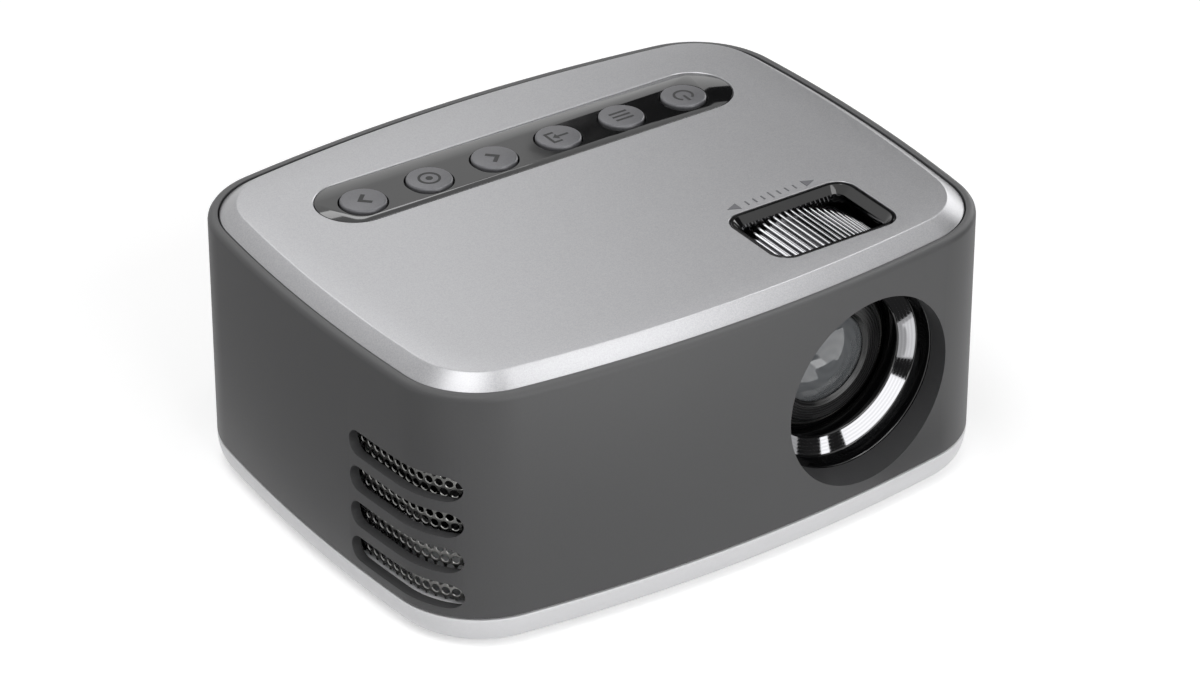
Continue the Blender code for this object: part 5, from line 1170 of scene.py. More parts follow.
@dataclass
class CoverPlate:
    """The silver cover with its chamfered edge."""

    inset: float = WALL + GAP
    chamfer_run: float = 0.0032
    chamfer_drop: float = 0.0023
    skirt: float = 0.0016
    edge: float = 0.00012
    top_round: float = 0.0006
    pillar: float = 0.0016
    pillar_bore: float = 0.0010
    sharp_angle: float = radians(24)

    def build(self, keys: KeyRow, slot: FocusSlot) -> None:
        """Make the plate with the key strip's pocket, the key holes and the focus slot.

        Args:
            keys: the strip and keys that it makes room for.
            slot: the slot that it makes room for.
        """
        top = PLATE_HIGH.z
        inner = self.inset + self.skirt
        run = self.inset + self.chamfer_run
        plate = OUTLINE.band([(inner + self.chamfer_run, PLATE_UNDER, 0),
                              (inner, SKIRT_BOTTOM + self.skirt / 2, 0), (inner, SKIRT_BOTTOM, 0),
                              (self.inset, SKIRT_BOTTOM, self.edge),
                              (self.inset, top - self.chamfer_drop, self.edge),
                              (run, top, self.top_round), (run + 2 * self.chamfer_run, top, 0)])
        pillars = [(middle(f"key_board_screw_{index}").x, middle(f"key_board_screw_{index}").y)
                   for index in (1, 2)]
        strip_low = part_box("button_strip")[0].z
        plate = carve(plate, ('DIFFERENCE', keys.pocket()),
                      ('UNION', rods(pillars, self.pillar, PLATE_LOW.z, PLATE_UNDER + self.edge)),
                      ('DIFFERENCE', keys.holes(PLATE_UNDER - OVERRUN, strip_low)),
                      ('DIFFERENCE', rods(pillars, self.pillar_bore, PLATE_LOW.z - OVERRUN,
                                          PLATE_UNDER - GAP)),
                      ('DIFFERENCE', slot.opening()))
        wear(plate, "cover_plate", SILVER_LACQUER, replaces=["top_plate"], angle=self.sharp_angle)


@dataclass
class BottomTray:
    """The pale tray: curved edge, lip, speaker holes and everything that stands in it."""

    tuck: float = 0.0024
    floor: float = 0.0016
    lip_wall: float = 0.0012
    curve_steps: int = 12
    peg: float = 0.0026
    leg: float = 0.0030
    sink: float = 0.0005
    hole: float = 0.0010
    hole_ring: float = 0.0062
    hole_count: int = 8
    nut_wall: float = 0.0024
    cradle_share: float = 0.6
    cradle_wall: float = 0.0014
    cradle_hold: float = 0.0030
    screw_head: float = 0.0020
    head_seat: float = 0.0017

    def profile(self, bottom: float) -> list[Corner]:
        """Section from the middle of the underside round the edge and over the lip.

        Args:
            bottom: height of the underside.

        Returns:
            Inset, height and rounding of each corner.
        """
        height = JOINT_Z - bottom
        edge = [(self.tuck * (1 - cos(angle)), bottom + height * (1 - sin(angle)), 0)
                for angle in [pi / 2 * (1 - step / self.curve_steps) for step in range(self.curve_steps)]]
        lip = WALL + GAP
        return [*edge, (0, JOINT_Z, GAP), (lip, JOINT_Z, 0), (lip, LIP_TOP, GAP),
                (lip + self.lip_wall, LIP_TOP, GAP),
                (lip + self.lip_wall + self.tuck / 2, bottom + self.floor, 0)]

    def build(self) -> None:
        """Make the tray, its posts, pegs and cradle, and its holes."""
        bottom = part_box("bottom_tray")[0].z
        inside = bottom + self.floor / 2
        board_low, board_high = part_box("main_board")
        set_in = self.peg + OVERRUN
        pegs = [(x, y) for x in (board_low.x + set_in, board_high.x - set_in)
                for y in (board_low.y + set_in, board_high.y - 2 * set_in)]
        engine_low, engine_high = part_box("engine_housing")
        legs = [(middle("condenser_lens").x + self.leg - OVERRUN / 2, engine_low.y + 2 * self.leg),
                (LENS_X + 2 * self.leg, engine_low.y + 2 * self.leg),
                (0, engine_high.y - 2 * self.leg - self.floor)]
        nut = middle("stand_nut")
        nut_radius = nut.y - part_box("stand_nut")[0].y
        nut_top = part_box("stand_nut")[1].z + GAP
        fan_low, fan_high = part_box("fan_frame")
        half = (fan_high.y - fan_low.y) * self.cradle_share / 2
        fan = middle("fan_frame")
        seat = (fan_high.x - fan_low.x) / 2 + GAP
        hold = fan_low.z + self.cradle_hold
        feet = [middle(f"foot_{index + 1}") for index in range(4)]
        foot_radius = feet[0].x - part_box("foot_1")[0].x
        speaker = middle("speaker")
        ring = [(speaker.x + self.hole_ring * cos(a), speaker.y + self.hole_ring * sin(a))
                for a in [2 * pi * index / self.hole_count for index in range(self.hole_count)]]
        head_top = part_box("case_screw_1")[0].z + self.head_seat
        sleeves = carve(rods(post_places(), POST_RADIUS, inside, LIP_TOP),
                        ('INTERSECT', OUTLINE.band([(WALL + self.lip_wall, bottom, 0),
                                                    (WALL + self.lip_wall, LIP_TOP + OVERRUN, 0)])))
        tube = (LENS_HIGH.x - LENS_LOW.x) / 2 + GAP
        front = OUTLINE.depth / 2 + OVERRUN
        notch = LENS_AXIS.turn([(0, front, 0), (tube, front, 0), (tube, -LENS_LOW.y, 0), (0, -LENS_LOW.y, 0)])
        left = min(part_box(node)[0].x for node in SOCKET_NODES) - OVERRUN
        right = max(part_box(node)[1].x for node in SOCKET_NODES) + OVERRUN
        tray = carve(
            OUTLINE.band(self.profile(bottom)), ('UNION', sleeves),
            ('UNION', rods(pegs, self.peg, inside, board_low.z - GAP)),
            ('UNION', rods(legs, self.leg, inside, engine_low.z - GAP)),
            ('UNION', rods([(nut.x, nut.y)], nut_radius + GAP + self.nut_wall, inside, nut_top + self.floor,
                           ROUND_STEPS)),
            ('UNION', brick((fan.x - seat - self.cradle_wall, fan.y - half, inside),
                            (fan.x + seat + self.cradle_wall, fan.y + half, hold))),
            ('DIFFERENCE', brick((fan.x - seat, fan.y - half - OVERRUN, fan_low.z - GAP),
                                 (fan.x + seat, fan.y + half + OVERRUN, hold + OVERRUN))),
            ('DIFFERENCE', rods([(nut.x, nut.y)], nut_radius + GAP, bottom - OVERRUN, nut_top, ROUND_STEPS)),
            ('DIFFERENCE', rods(post_places(), POST_BORE, bottom, LIP_TOP + OVERRUN)),
            ('DIFFERENCE', rods(post_places(), self.screw_head + GAP, bottom - OVERRUN, head_top)),
            ('DIFFERENCE', rods([(foot.x, foot.y) for foot in feet], foot_radius + GAP, bottom - OVERRUN,
                                bottom + self.sink, ROUND_STEPS)),
            ('DIFFERENCE', rods([*ring, (speaker.x, speaker.y)], self.hole, bottom - OVERRUN,
                                bottom + self.floor + OVERRUN)),
            ('DIFFERENCE', notch),
            ('DIFFERENCE', brick((left, board_high.y - set_in, JOINT_Z),
                                 (right, SHELL_HIGH.y, LIP_TOP + OVERRUN))))
        wear(tray, "pale_tray", TRAY_PLASTIC, replaces=["bottom_tray"])


@dataclass
class FocusWheel:
    """The ribbed wheel, its web and the hub with three slanted slots."""

    ribs: int = 116
    rib_depth: float = 0.0007
    rib_groove: float = 0.00018
    rib_flank: float = 0.00020
    rib_round: float = 0.00020
    drum_bore: float = 0.0214
    hub_radius: float = 0.0196
    hub_bore: float = 0.0170
    hub_length: float = 0.0097
    web: float = 0.0025
    angle: float = radians(45)
    travel: float = 0.0015
    pins: int = 3
    slot_half: float = 0.0015
    slot_steps: int = 24
    edge: float = 0.0004

    def ribbed(self, rear: float, front: float, radius: float) -> bmesh.types.BMesh:
        """The outside of the wheel: one rib's outline, spun round and raised.

        Args:
            rear: how far forward the rear face lies.
            front: and the front face.
            radius: over the ribs.

        Returns:
            The closed shape.
        """
        mean = radius - self.rib_depth / 2
        half = pi * mean / self.ribs
        low, foot = radius - self.rib_depth, half - self.rib_groove
        crown = foot - self.rib_flank
        path = rounded([(-half, low, 0), (-foot, low, self.rib_round / 2), (-crown, radius, self.rib_round),
                        (crown, radius, self.rib_round), (foot, low, self.rib_round / 2), (half, low, 0)],
                       closed=False, steps=2)
        shape = bmesh.new()
        verts = []
        for along, out in path:
            angle = along / mean
            verts.append(shape.verts.new((LENS_X + out * sin(angle), -rear, LENS_Z + out * cos(angle))))
        edges = [shape.edges.new(pair) for pair in zip(verts, verts[1:])]
        bmesh.ops.spin(shape, geom=verts + edges, cent=LENS_CENTRE, axis=FORWARD, angle=2 * pi,
                       steps=self.ribs, use_duplicate=True)
        bmesh.ops.remove_doubles(shape, verts=shape.verts, dist=MERGE)
        bmesh.ops.edgeloop_fill(shape, edges=shape.edges)
        raised = bmesh.ops.extrude_face_region(shape, geom=shape.faces[:])["geom"]
        bmesh.ops.translate(shape, verts=fresh_part(raised, bmesh.types.BMVert), vec=FORWARD * (front - rear))
        return tidy(shape)

    def pin_line(self) -> float:
        """How far forward the barrel's pins run through the slots at rest."""
        return self.hub_length / 2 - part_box("focus_ring")[1].y

    def slots(self) -> bmesh.types.BMesh:
        """Cutters for the slots, each a small face spun round the axis and drawn forward.

        Returns:
            The closed shapes, in one.
        """
        reach = self.angle + self.slot_half / self.hub_bore
        step = 2 * reach / self.slot_steps
        rise = -self.travel / self.angle
        along = self.pin_line() - rise * reach
        inner, outer = self.hub_bore - OVERRUN, self.hub_radius + OVERRUN / 2
        shape = bmesh.new()
        for pin in range(self.pins):
            start = (Matrix.Translation(LENS_CENTRE)
                     @ Matrix.Rotation(2 * pi * pin / self.pins - reach, 4, 'Y'))
            verts = [shape.verts.new(start @ Vector((0, -(along + way * self.slot_half), radius)))
                     for way, radius in ((-1, inner), (-1, outer), (1, outer), (1, inner))]
            face = shape.faces.new(verts)
            bmesh.ops.spin(shape, geom=[*verts, *face.edges, face], cent=LENS_CENTRE, axis=REARWARD,
                           dvec=FORWARD * rise * step, angle=2 * reach, steps=self.slot_steps)
        return tidy(shape)

    def build(self) -> None:
        """Make the wheel."""
        low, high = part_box("focus_ring")
        rear, front, radius = -high.y, -low.y, (high.x - low.x) / 2
        rim = radius + GAP
        envelope = LENS_AXIS.turn([(0, front, 0), (rim, front, 2 * self.edge), (rim, rear, 2 * self.edge),
                                   (0, rear, 0)], FINE_STEPS)
        web, hub = rear + self.web, rear + self.hub_length
        hollow = LENS_AXIS.turn([(0, front + OVERRUN, 0), (self.drum_bore + self.edge, front + OVERRUN, 0),
                                 (self.drum_bore + self.edge, front, 0),
                                 (self.drum_bore, front - self.edge, 0), (self.drum_bore, web, self.edge),
                                 (self.hub_radius, web, self.edge), (self.hub_radius, hub, 0),
                                 (self.hub_bore, hub, 0), (self.hub_bore, rear - OVERRUN, 0),
                                 (0, rear - OVERRUN, 0)], FINE_STEPS)
        wheel = carve(self.ribbed(rear, front, radius), ('INTERSECT', envelope), ('DIFFERENCE', hollow),
                      ('DIFFERENCE', self.slots()))
        wear(wheel, "focus_wheel", WHEEL_CHROME, Body.WHEEL.value, ["focus_ring"], DRUM_ANGLE)


@dataclass
class LensGroup:
    """The trim ring, the sliding barrel and the front glass in it."""

    land: float = 0.0031
    cone: float = 0.0016
    body: float = 0.0050
    step: float = 0.0006
    tube_wall: float = 0.0015
    sleeve_wall: float = 0.0014
    play: float = 0.0005
    barrel: float = 0.0143
    front_bore: float = 0.0107
    front_seat: float = 0.0034
    middle_bore: float = 0.0083
    middle_seat: float = 0.0092
    throat: float = 0.0068
    rear_bore: float = 0.0115
    rear_seat: float = 0.0040
    pin: float = 0.0012
    pin_tip: float = 0.0193
    pins: int = 3
    bright: float = 0.0004
    glass: float = 0.0104
    glass_edge: float = 0.0020
    bulge: float = 0.0030
    hollow: float = 0.0010
    window: float = 0.0090
    lip: float = 0.0005
    edge: float = 0.0003

    def build_trim(self) -> None:
        """Make the funnel ring that is set in the recess, and the bright band on its slope."""
        front, rear = -LENS_LOW.y, -LENS_HIGH.y
        outer = (LENS_HIGH.x - LENS_LOW.x) / 2
        mouth, bore = outer - self.tube_wall, self.barrel + self.play
        cone_front = front - self.land
        cone_rear = cone_front - self.cone
        sleeve = bore + self.sleeve_wall
        ring = LENS_AXIS.turn([(mouth, front, self.edge), (outer, front, 0), (outer, front - self.body, 0),
                               (sleeve, front - self.body - self.sleeve_wall, 0), (sleeve, rear, 0),
                               (bore, rear, self.edge / 2), (bore, cone_rear, self.edge),
                               (mouth - self.step, cone_front, self.edge)], FINE_STEPS)
        lift, inner, wide = self.edge / 4, bore + self.edge, mouth - self.step - self.edge
        start = cone_rear + self.edge * self.cone / (wide - inner)
        end = cone_front - self.edge / 2
        band = LENS_AXIS.turn([(inner, start, 0), (wide, end, 0), (wide, end + lift, 0),
                               (inner, start + lift, 0)], FINE_STEPS)
        wear(band, "funnel_bright_band", BAND_CHROME, angle=DRUM_ANGLE)
        wear(ring, "lens_funnel_ring", TRIM_PLASTIC, replaces=["lens_trim_ring"], angle=DRUM_ANGLE)

    def build_barrel(self, wheel: FocusWheel) -> None:
        """Make the stepped barrel with its guide pins and a bright front edge.

        Args:
            wheel: the wheel whose slots the pins run in.
        """
        low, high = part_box("lens_barrel")
        front, rear = -low.y, -high.y
        seat = front - self.front_seat
        throat = seat - self.middle_seat
        tube = LENS_AXIS.turn([(self.front_bore, front, 0), (self.barrel - self.bright, front, 0),
                               (self.barrel, front - self.bright, 0), (self.barrel, rear, self.edge),
                               (self.rear_bore, rear, self.edge), (self.rear_bore, rear + self.rear_seat, 0),
                               (self.throat, rear + self.rear_seat, 0), (self.throat, throat, 0),
                               (self.middle_bore, throat, 0), (self.middle_bore, seat, 0),
                               (self.front_bore, seat, 0)], FINE_STEPS)
        root = (self.barrel + self.rear_bore) / 2
        pins = bmesh.new()
        for index in range(self.pins):
            matrix = (Matrix.Translation((LENS_X, -wheel.pin_line(), LENS_Z))
                      @ Matrix.Rotation(2 * pi * index / self.pins, 4, 'Y')
                      @ Matrix.Translation((0, 0, (root + self.pin_tip) / 2)))
            bmesh.ops.create_cone(pins, cap_ends=True, segments=SMALL_STEPS, radius1=self.pin,
                                  radius2=self.pin, depth=self.pin_tip - root, matrix=matrix)
        wear(carve(tube, ('UNION', pins)), "sliding_barrel", BARREL_BLACK, Body.SLIDER.value,
             ["lens_barrel"])
        hoop = LENS_AXIS.turn([(self.barrel - self.bright, front + self.edge / 3, 0),
                               (self.barrel + self.edge / 3, front - self.bright, 0),
                               (self.barrel - self.bright, front - self.bright, 0)], FINE_STEPS)
        wear(hoop, "barrel_bright_edge", SOCKET_STEEL, Body.SLIDER.value)

    def build_retainer(self) -> None:
        """Make the ring that holds the front glass."""
        low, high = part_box("lens_retainer")
        front, rear = -low.y, -high.y
        outer = (high.x - low.x) / 2
        ring = LENS_AXIS.turn([(self.window + 3 * self.edge, front, self.edge), (outer, front, self.edge),
                               (outer, rear, 0), (self.glass, rear, 0), (self.window, front - self.lip, 0)],
                              FINE_STEPS)
        wear(ring, "front_glass_ring", BARREL_BLACK, Body.SLIDER.value, ["lens_retainer"])

    def face(self, base: float, bulge: float, steps: int = 16) -> list[Corner]:
        """Section of a lens face from its middle to its edge; one below zero is hollow.

        Args:
            base: where the edge of the face lies.
            bulge: how far the middle stands out, less than zero for a hollow.
            steps: stretches from the middle to the edge.

        Returns:
            The corners of the section.
        """
        ball = (self.glass ** 2 + bulge ** 2) / (2 * abs(bulge))
        way = 1 if bulge > 0 else -1
        return [(r, base + bulge - way * (ball - sqrt(ball ** 2 - r ** 2)), 0)
                for r in [self.glass * step / steps for step in range(steps + 1)]]

    def build_glass(self) -> None:
        """Make the domed front glass."""
        base = -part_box("front_lens")[1].y
        front = self.face(base + self.glass_edge, self.bulge)
        rear = [(r, 2 * base - along, 0) for r, along, _ in self.face(base, -self.hollow)]
        # The glass's mid-grey body is painted reflection, not the colour of the glass.
        wear(LENS_AXIS.turn(front + rear[::-1], FINE_STEPS), "front_glass", GLASS_PAINTED_GREY_REFLECTION,
             Body.SLIDER.value, ["front_lens"], DRUM_ANGLE)


@dataclass(frozen=True)
class Contacts:
    """A row of flat contacts in a socket: its name, count, pitch and the size of one."""

    name: str
    count: int
    pitch: float
    width: float
    length: float
    thick: float = 0.0001

    def lay(self, start: Sequence[float]) -> None:
        """Lay the row.

        Args:
            start: middle of the row's inner end, on the face that carries them.
        """
        shape = bmesh.new()
        for index in range(self.count):
            x = start[0] + (index - (self.count - 1) / 2) * self.pitch
            add(shape, brick((x - self.width / 2, start[1], start[2]),
                             (x + self.width / 2, start[1] + self.length, start[2] + self.thick)))
        wear(shape, self.name, CONTACT_GOLD)


@dataclass
class RearSockets:
    """The row of sockets along the rear edge of the main board."""

    edge: float = 0.00025
    hdmi_wall: float = 0.0005
    hdmi_cut: float = 0.0014
    hdmi_tongue_inset: float = 0.0022
    hdmi_tongue_half: float = 0.0005
    usb_wall: float = 0.0005
    usb_tongue_inset: float = 0.0018
    usb_tongue_set_back: float = 0.0016
    usb_tongue_rise: float = 0.0004
    usb_tongue_thick: float = 0.0018
    card_wall: float = 0.0003
    sleeve: float = 0.0001
    jack_bore: float = 0.0018
    jack_collar: float = 0.0006
    inlet_bore: float = 0.0032
    inlet_collar: float = 0.0009
    inlet_pin: float = 0.0010
    eye: float = 0.0020
    eye_flat: float = 0.0012
    eye_proud: float = 0.0008
    eye_root: float = 0.0010
    hdmi_contacts: Contacts = Contacts("wide_socket_contacts", 10, 0.0009, 0.0005, 0.0058)
    usb_contacts: Contacts = Contacts("square_socket_contacts", 4, 0.0025, 0.0012, 0.0085)
    card_contacts: Contacts = Contacts("card_slot_contacts", 8, 0.0011, 0.0006, 0.0045)

    def metal_shell(self, node: str, wall: float, corners: Sequence[Corner],
                    inner: Sequence[Corner]) -> bmesh.types.BMesh:
        """A folded sheet shell with a mouth at the rear.

        Args:
            node: the solid that it stands for.
            wall: thickness of its back.
            corners: the outer section, X and Z.
            inner: the section of its mouth.

        Returns:
            The shell.
        """
        low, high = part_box(node)
        back = Matrix.Translation((0, low.y, 0)) @ REAR_LAY
        mouth = Matrix.Translation((0, low.y + 2 * wall, 0)) @ REAR_LAY
        body = slab(rounded(corners), back, high.y - low.y)
        return carve(body, ('DIFFERENCE', slab(rounded(inner), mouth, high.y - low.y)))

    def keystone(self, inset: float) -> list[Corner]:
        """Section of the wide socket, set in all round.

        Args:
            inset: how far.

        Returns:
            The corners of the section.
        """
        low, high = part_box("hdmi_socket")
        left, right = low.x + inset, high.x - inset
        bottom, top = low.z + inset, high.z - inset
        cut = self.hdmi_cut
        return [(right, top, self.edge), (left, top, self.edge), (left, bottom + cut, self.edge),
                (left + cut, bottom, self.edge), (right - cut, bottom, self.edge),
                (right, bottom + cut, self.edge)]

    def build_hdmi(self) -> None:
        """Make the wide socket with a keystone shell and a contact tongue."""
        low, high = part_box("hdmi_socket")
        wall, inset = self.hdmi_wall, self.hdmi_tongue_inset
        wear(self.metal_shell("hdmi_socket", wall, self.keystone(0), self.keystone(wall)),
             "wide_socket_shell", SOCKET_STEEL, replaces=["hdmi_socket"])
        centre = (low.z + high.z) / 2
        tongue = brick((low.x + inset, low.y + wall, centre - self.hdmi_tongue_half),
                       (high.x - inset, high.y - inset, centre + self.hdmi_tongue_half), self.edge / 2)
        wear(tongue, "wide_socket_tongue", MATTE_NYLON)
        self.hdmi_contacts.lay(((low.x + high.x) / 2, low.y + 4 * wall, centre + self.hdmi_tongue_half))

    def build_usb(self) -> None:
        """Make the upright rectangular socket with its tongue and four contacts."""
        low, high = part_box("usb_socket")
        wall = self.usb_wall
        size = high - low
        place = middle("usb_socket")
        outer = rectangle((place.x, place.z), size.x, size.z, 2 * self.edge)
        inner = rectangle((place.x, place.z), size.x - 2 * wall, size.z - 2 * wall, self.edge)
        wear(self.metal_shell("usb_socket", wall, outer, inner), "square_socket_shell", SOCKET_STEEL,
             replaces=["usb_socket"])
        under, inset = place.z + self.usb_tongue_rise, self.usb_tongue_inset
        tongue = brick((low.x + inset, low.y + wall, under),
                       (high.x - inset, high.y - self.usb_tongue_set_back, under + self.usb_tongue_thick),
                       self.edge / 2)
        wear(tongue, "square_socket_tongue", TRAY_PLASTIC)
        self.usb_contacts.lay((place.x, low.y + 4 * wall, under - self.usb_contacts.thick))

    def build_card(self) -> None:
        """Make the flat card slot with its contact springs."""
        low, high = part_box("card_slot")
        wall = self.card_wall
        size = high - low
        place = middle("card_slot")
        outer = rectangle((place.x, place.z), size.x, size.z, self.edge)
        inner = rectangle((place.x, place.z), size.x - 4 * wall, size.z - 2 * wall, self.edge / 2)
        wear(self.metal_shell("card_slot", wall, outer, inner), "card_slot_shell", SOCKET_STEEL,
             replaces=["card_slot"])
        self.card_contacts.lay((place.x, low.y + 4 * wall, low.z + wall))

    def build_round(self, node: str, name: str, bore: float, collar: float, pin: float) -> None:
        """Make a block with a round bore, a metal sleeve in it and a pin if it has one.

        Args:
            node: the solid that it stands for.
            name: the piece's name.
            bore: radius of the bore.
            collar: how far the raised collar reaches beyond the bore.
            pin: radius of the pin, or zero.
        """
        low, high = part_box(node)
        place = middle(node)
        axis = Spindle(Vector((place.x, 0, place.z)), REARWARD)
        back = low.y + (high.y - low.y) / 4
        step = 2 * self.edge
        deep, wide = high.y - 2 * step, bore + collar
        block = brick(low, (high.x, high.y - step, high.z), self.edge)
        rim = axis.turn([(0, high.y, 0), (wide, high.y, self.edge), (wide, deep, 0), (0, deep, 0)])
        hole = axis.turn([(0, high.y + OVERRUN, 0), (bore + self.edge, high.y + OVERRUN, 0),
                          (bore + self.edge, high.y, 0), (bore, high.y - self.edge, 0), (bore, back, 0),
                          (0, back, 0)])
        wear(carve(block, ('UNION', rim), ('DIFFERENCE', hole)), f"{name}_block", MATTE_NYLON,
             replaces=[node])
        inner = bore - self.sleeve
        sleeve = axis.turn([(bore, high.y - step, 0), (bore, back + step, 0), (inner, back + step, 0),
                            (inner, high.y - step, 0)])
        wear(sleeve, f"{name}_sleeve", SOCKET_STEEL)
        if pin:
            wear(axis.turn([(0, deep, 0), (pin, deep, pin / 2), (pin, back - step, 0), (0, back - step, 0)],
                           SMALL_STEPS), f"{name}_pin", SOCKET_STEEL)

    def build_eye(self) -> None:
        """Make the remote control's receiver with its domed bead."""
        low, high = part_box("infrared_receiver")
        place = middle("infrared_receiver")
        face = high.y - self.eye_proud
        root = face - self.eye_root
        axis = Spindle(Vector((place.x, 0, place.z)), REARWARD)
        bead = axis.turn([(0, high.y, 0), (self.eye_flat, high.y - self.edge / 2, 0),
                          (self.eye, face, self.edge), (self.eye, root, 0), (0, root, 0)])
        block = brick(low, (high.x, face, high.z), self.edge)
        wear(carve(block, ('UNION', bead)), "remote_receiver", EYE_EPOXY, replaces=["infrared_receiver"])

    def build(self) -> None:
        """Make all six."""
        self.build_hdmi()
        self.build_usb()
        self.build_card()
        self.build_round("av_jack", "small_jack", self.jack_bore, self.jack_collar, 0)
        self.build_round("power_jack", "power_inlet", self.inlet_bore, self.inlet_collar, self.inlet_pin)
        self.build_eye()


@dataclass
class Underside:
    """Rubber feet, case screws and the brass nut for a stand."""

    foot_edge: float = 0.0004
    dish: float = 0.0003
    head: float = 0.0020
    head_thick: float = 0.0014
    head_round: float = 0.00084
    shank: float = 0.0010
    screw_pitch: float = 0.0004
    cross: float = 0.0006
    cross_span: float = 0.0022
    bore: float = 0.0030
    thread_pitch: float = 0.00127
    thread_depth: float = 0.0004

    def build_feet(self) -> None:
        """Make the feet with a rounded rim and a shallow dish."""
        for index in range(4):
            node = f"foot_{index + 1}"
            low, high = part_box(node)
            radius = (high.x - low.x) / 2
            place = middle(node)
            foot = upright(place.x, place.y).turn(
                [(0, high.z, 0), (radius, high.z, 0), (radius, low.z, self.foot_edge),
                 (radius * 3 / 4, low.z, self.dish), (radius / 2, low.z + self.dish, self.dish),
                 (0, low.z + self.dish, 0)])
            wear(foot, f"rubber_foot_{index + 1}", FOOT_RUBBER, replaces=[node])

    def build_screws(self) -> None:
        """Make the pan-head screws with a cross recess and a threaded shank."""
        for index, (x, y) in enumerate(post_places()):
            node = f"case_screw_{index + 1}"
            low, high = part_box(node)
            under = low.z + self.head_thick
            tip = high.z - self.shank
            thread = [(self.shank * (1 - step % 2 / 6), tip - step * self.screw_pitch, 0)
                      for step in range(int((tip - under) / self.screw_pitch))]
            screw = upright(x, y).turn(
                [(0, high.z, 0), (self.shank / 3, high.z, 0), *thread, (self.shank, under, 0),
                 (self.head, under, 0), (self.head, low.z, self.head_round), (0, low.z, 0)],
                SMALL_STEPS, fillet=6)
            half, arm, deep = self.cross_span / 2, self.cross / 2, low.z + self.head_thick / 2
            cross = carve(brick((x - half, y - arm, low.z - OVERRUN), (x + half, y + arm, deep)),
                          ('UNION', brick((x - arm, y - half, low.z - OVERRUN), (x + arm, y + half, deep))))
            wear(carve(screw, ('DIFFERENCE', cross)), f"tray_screw_{index + 1}", SCREW_STEEL, replaces=[node])

    def build_nut(self) -> None:
        """Make the nut with ridges for its thread."""
        low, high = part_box("stand_nut")
        radius = (high.x - low.x) / 2
        place = middle("stand_nut")
        count = int((high.z - low.z) / self.thread_pitch)
        thread = []
        for index in range(count):
            base = low.z + (index + 1 / 2) * self.thread_pitch
            thread += [(self.bore + self.thread_depth, base, 0), (self.bore, base + self.thread_pitch / 2, 0)]
        nut = upright(place.x, place.y).turn(
            [(radius, high.z, GAP), (radius, low.z, GAP), (self.bore + self.thread_depth, low.z, 0), *thread,
             (self.bore + self.thread_depth, high.z, 0)])
        wear(nut, "stand_insert", NUT_BRASS, replaces=["stand_nut"])

    def build(self) -> None:
        """Make everything under the tray."""
        self.build_feet()
        self.build_screws()
        self.build_nut()


@dataclass
class InnerParts:
    """The solids inside the case, which keep their shapes and get real finishes."""

    groups: dict[Finish, tuple[str, ...]] = field(default_factory=lambda: {
        MATTE_NYLON: ("engine_housing", "engine_cover", "fan_frame", "fan_impeller", "speaker",
                      *(f"key_switch_{index + 1}" for index in range(6))),
        BARREL_BLACK: ("lens_mount",),
        SCREW_STEEL: ("ring_retainer", "key_board_screw_1", "key_board_screw_2"),
        SINK_ALUMINIUM: ("heatsink",),
        # The inner lenses share the front glass's mid-grey body, which is painted reflection.
        GLASS_PAINTED_GREY_REFLECTION: ("middle_lens", "rear_lens", "condenser_lens", "heat_glass"),
        FRESNEL_ACRYLIC: ("field_fresnel", "collimating_fresnel"),
        PANEL_FILM: ("lcd_panel",),
        MIRROR_SILVER: ("fold_mirror",),
        GREEN_BOARD: ("main_board", "key_board"),
        WHITE_BOARD: ("led_board",),
    })

    def dress(self) -> None:
        """Give each solid its finish."""
        for finish, names in self.groups.items():
            for name in names:
                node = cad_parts[name]
                node.data.materials.clear()
                node.data.materials.append(finish.material())
                LOG.info("%s: solid kept, %s", name, finish.name)


@dataclass(frozen=True)
class Card:
    """A card that only reflections see; a strength of one is the white of the studio."""

    name: str
    strength: float
    corners: tuple[tuple[float, float, float], ...]


def flat_card(name: str, strength: float, height: float, *plan: tuple[float, float]) -> Card:
    """A level card at a height, with its corners in plan."""
    return Card(name, strength, tuple((x, y, height) for x, y in plan))


def wall_card(name: str, strength: float, start: tuple[float, float], end: tuple[float, float],
              bottom: float, top: float) -> Card:
    """An upright card between two places in plan."""
    return Card(name, strength, ((*start, bottom), (*end, bottom), (*end, top), (*start, top)))


CARD_LOW, CARD_SIDE_TOP, CARD_HIGH = 0.001, 0.2, 0.55
BLACK_FLAG = 0.03
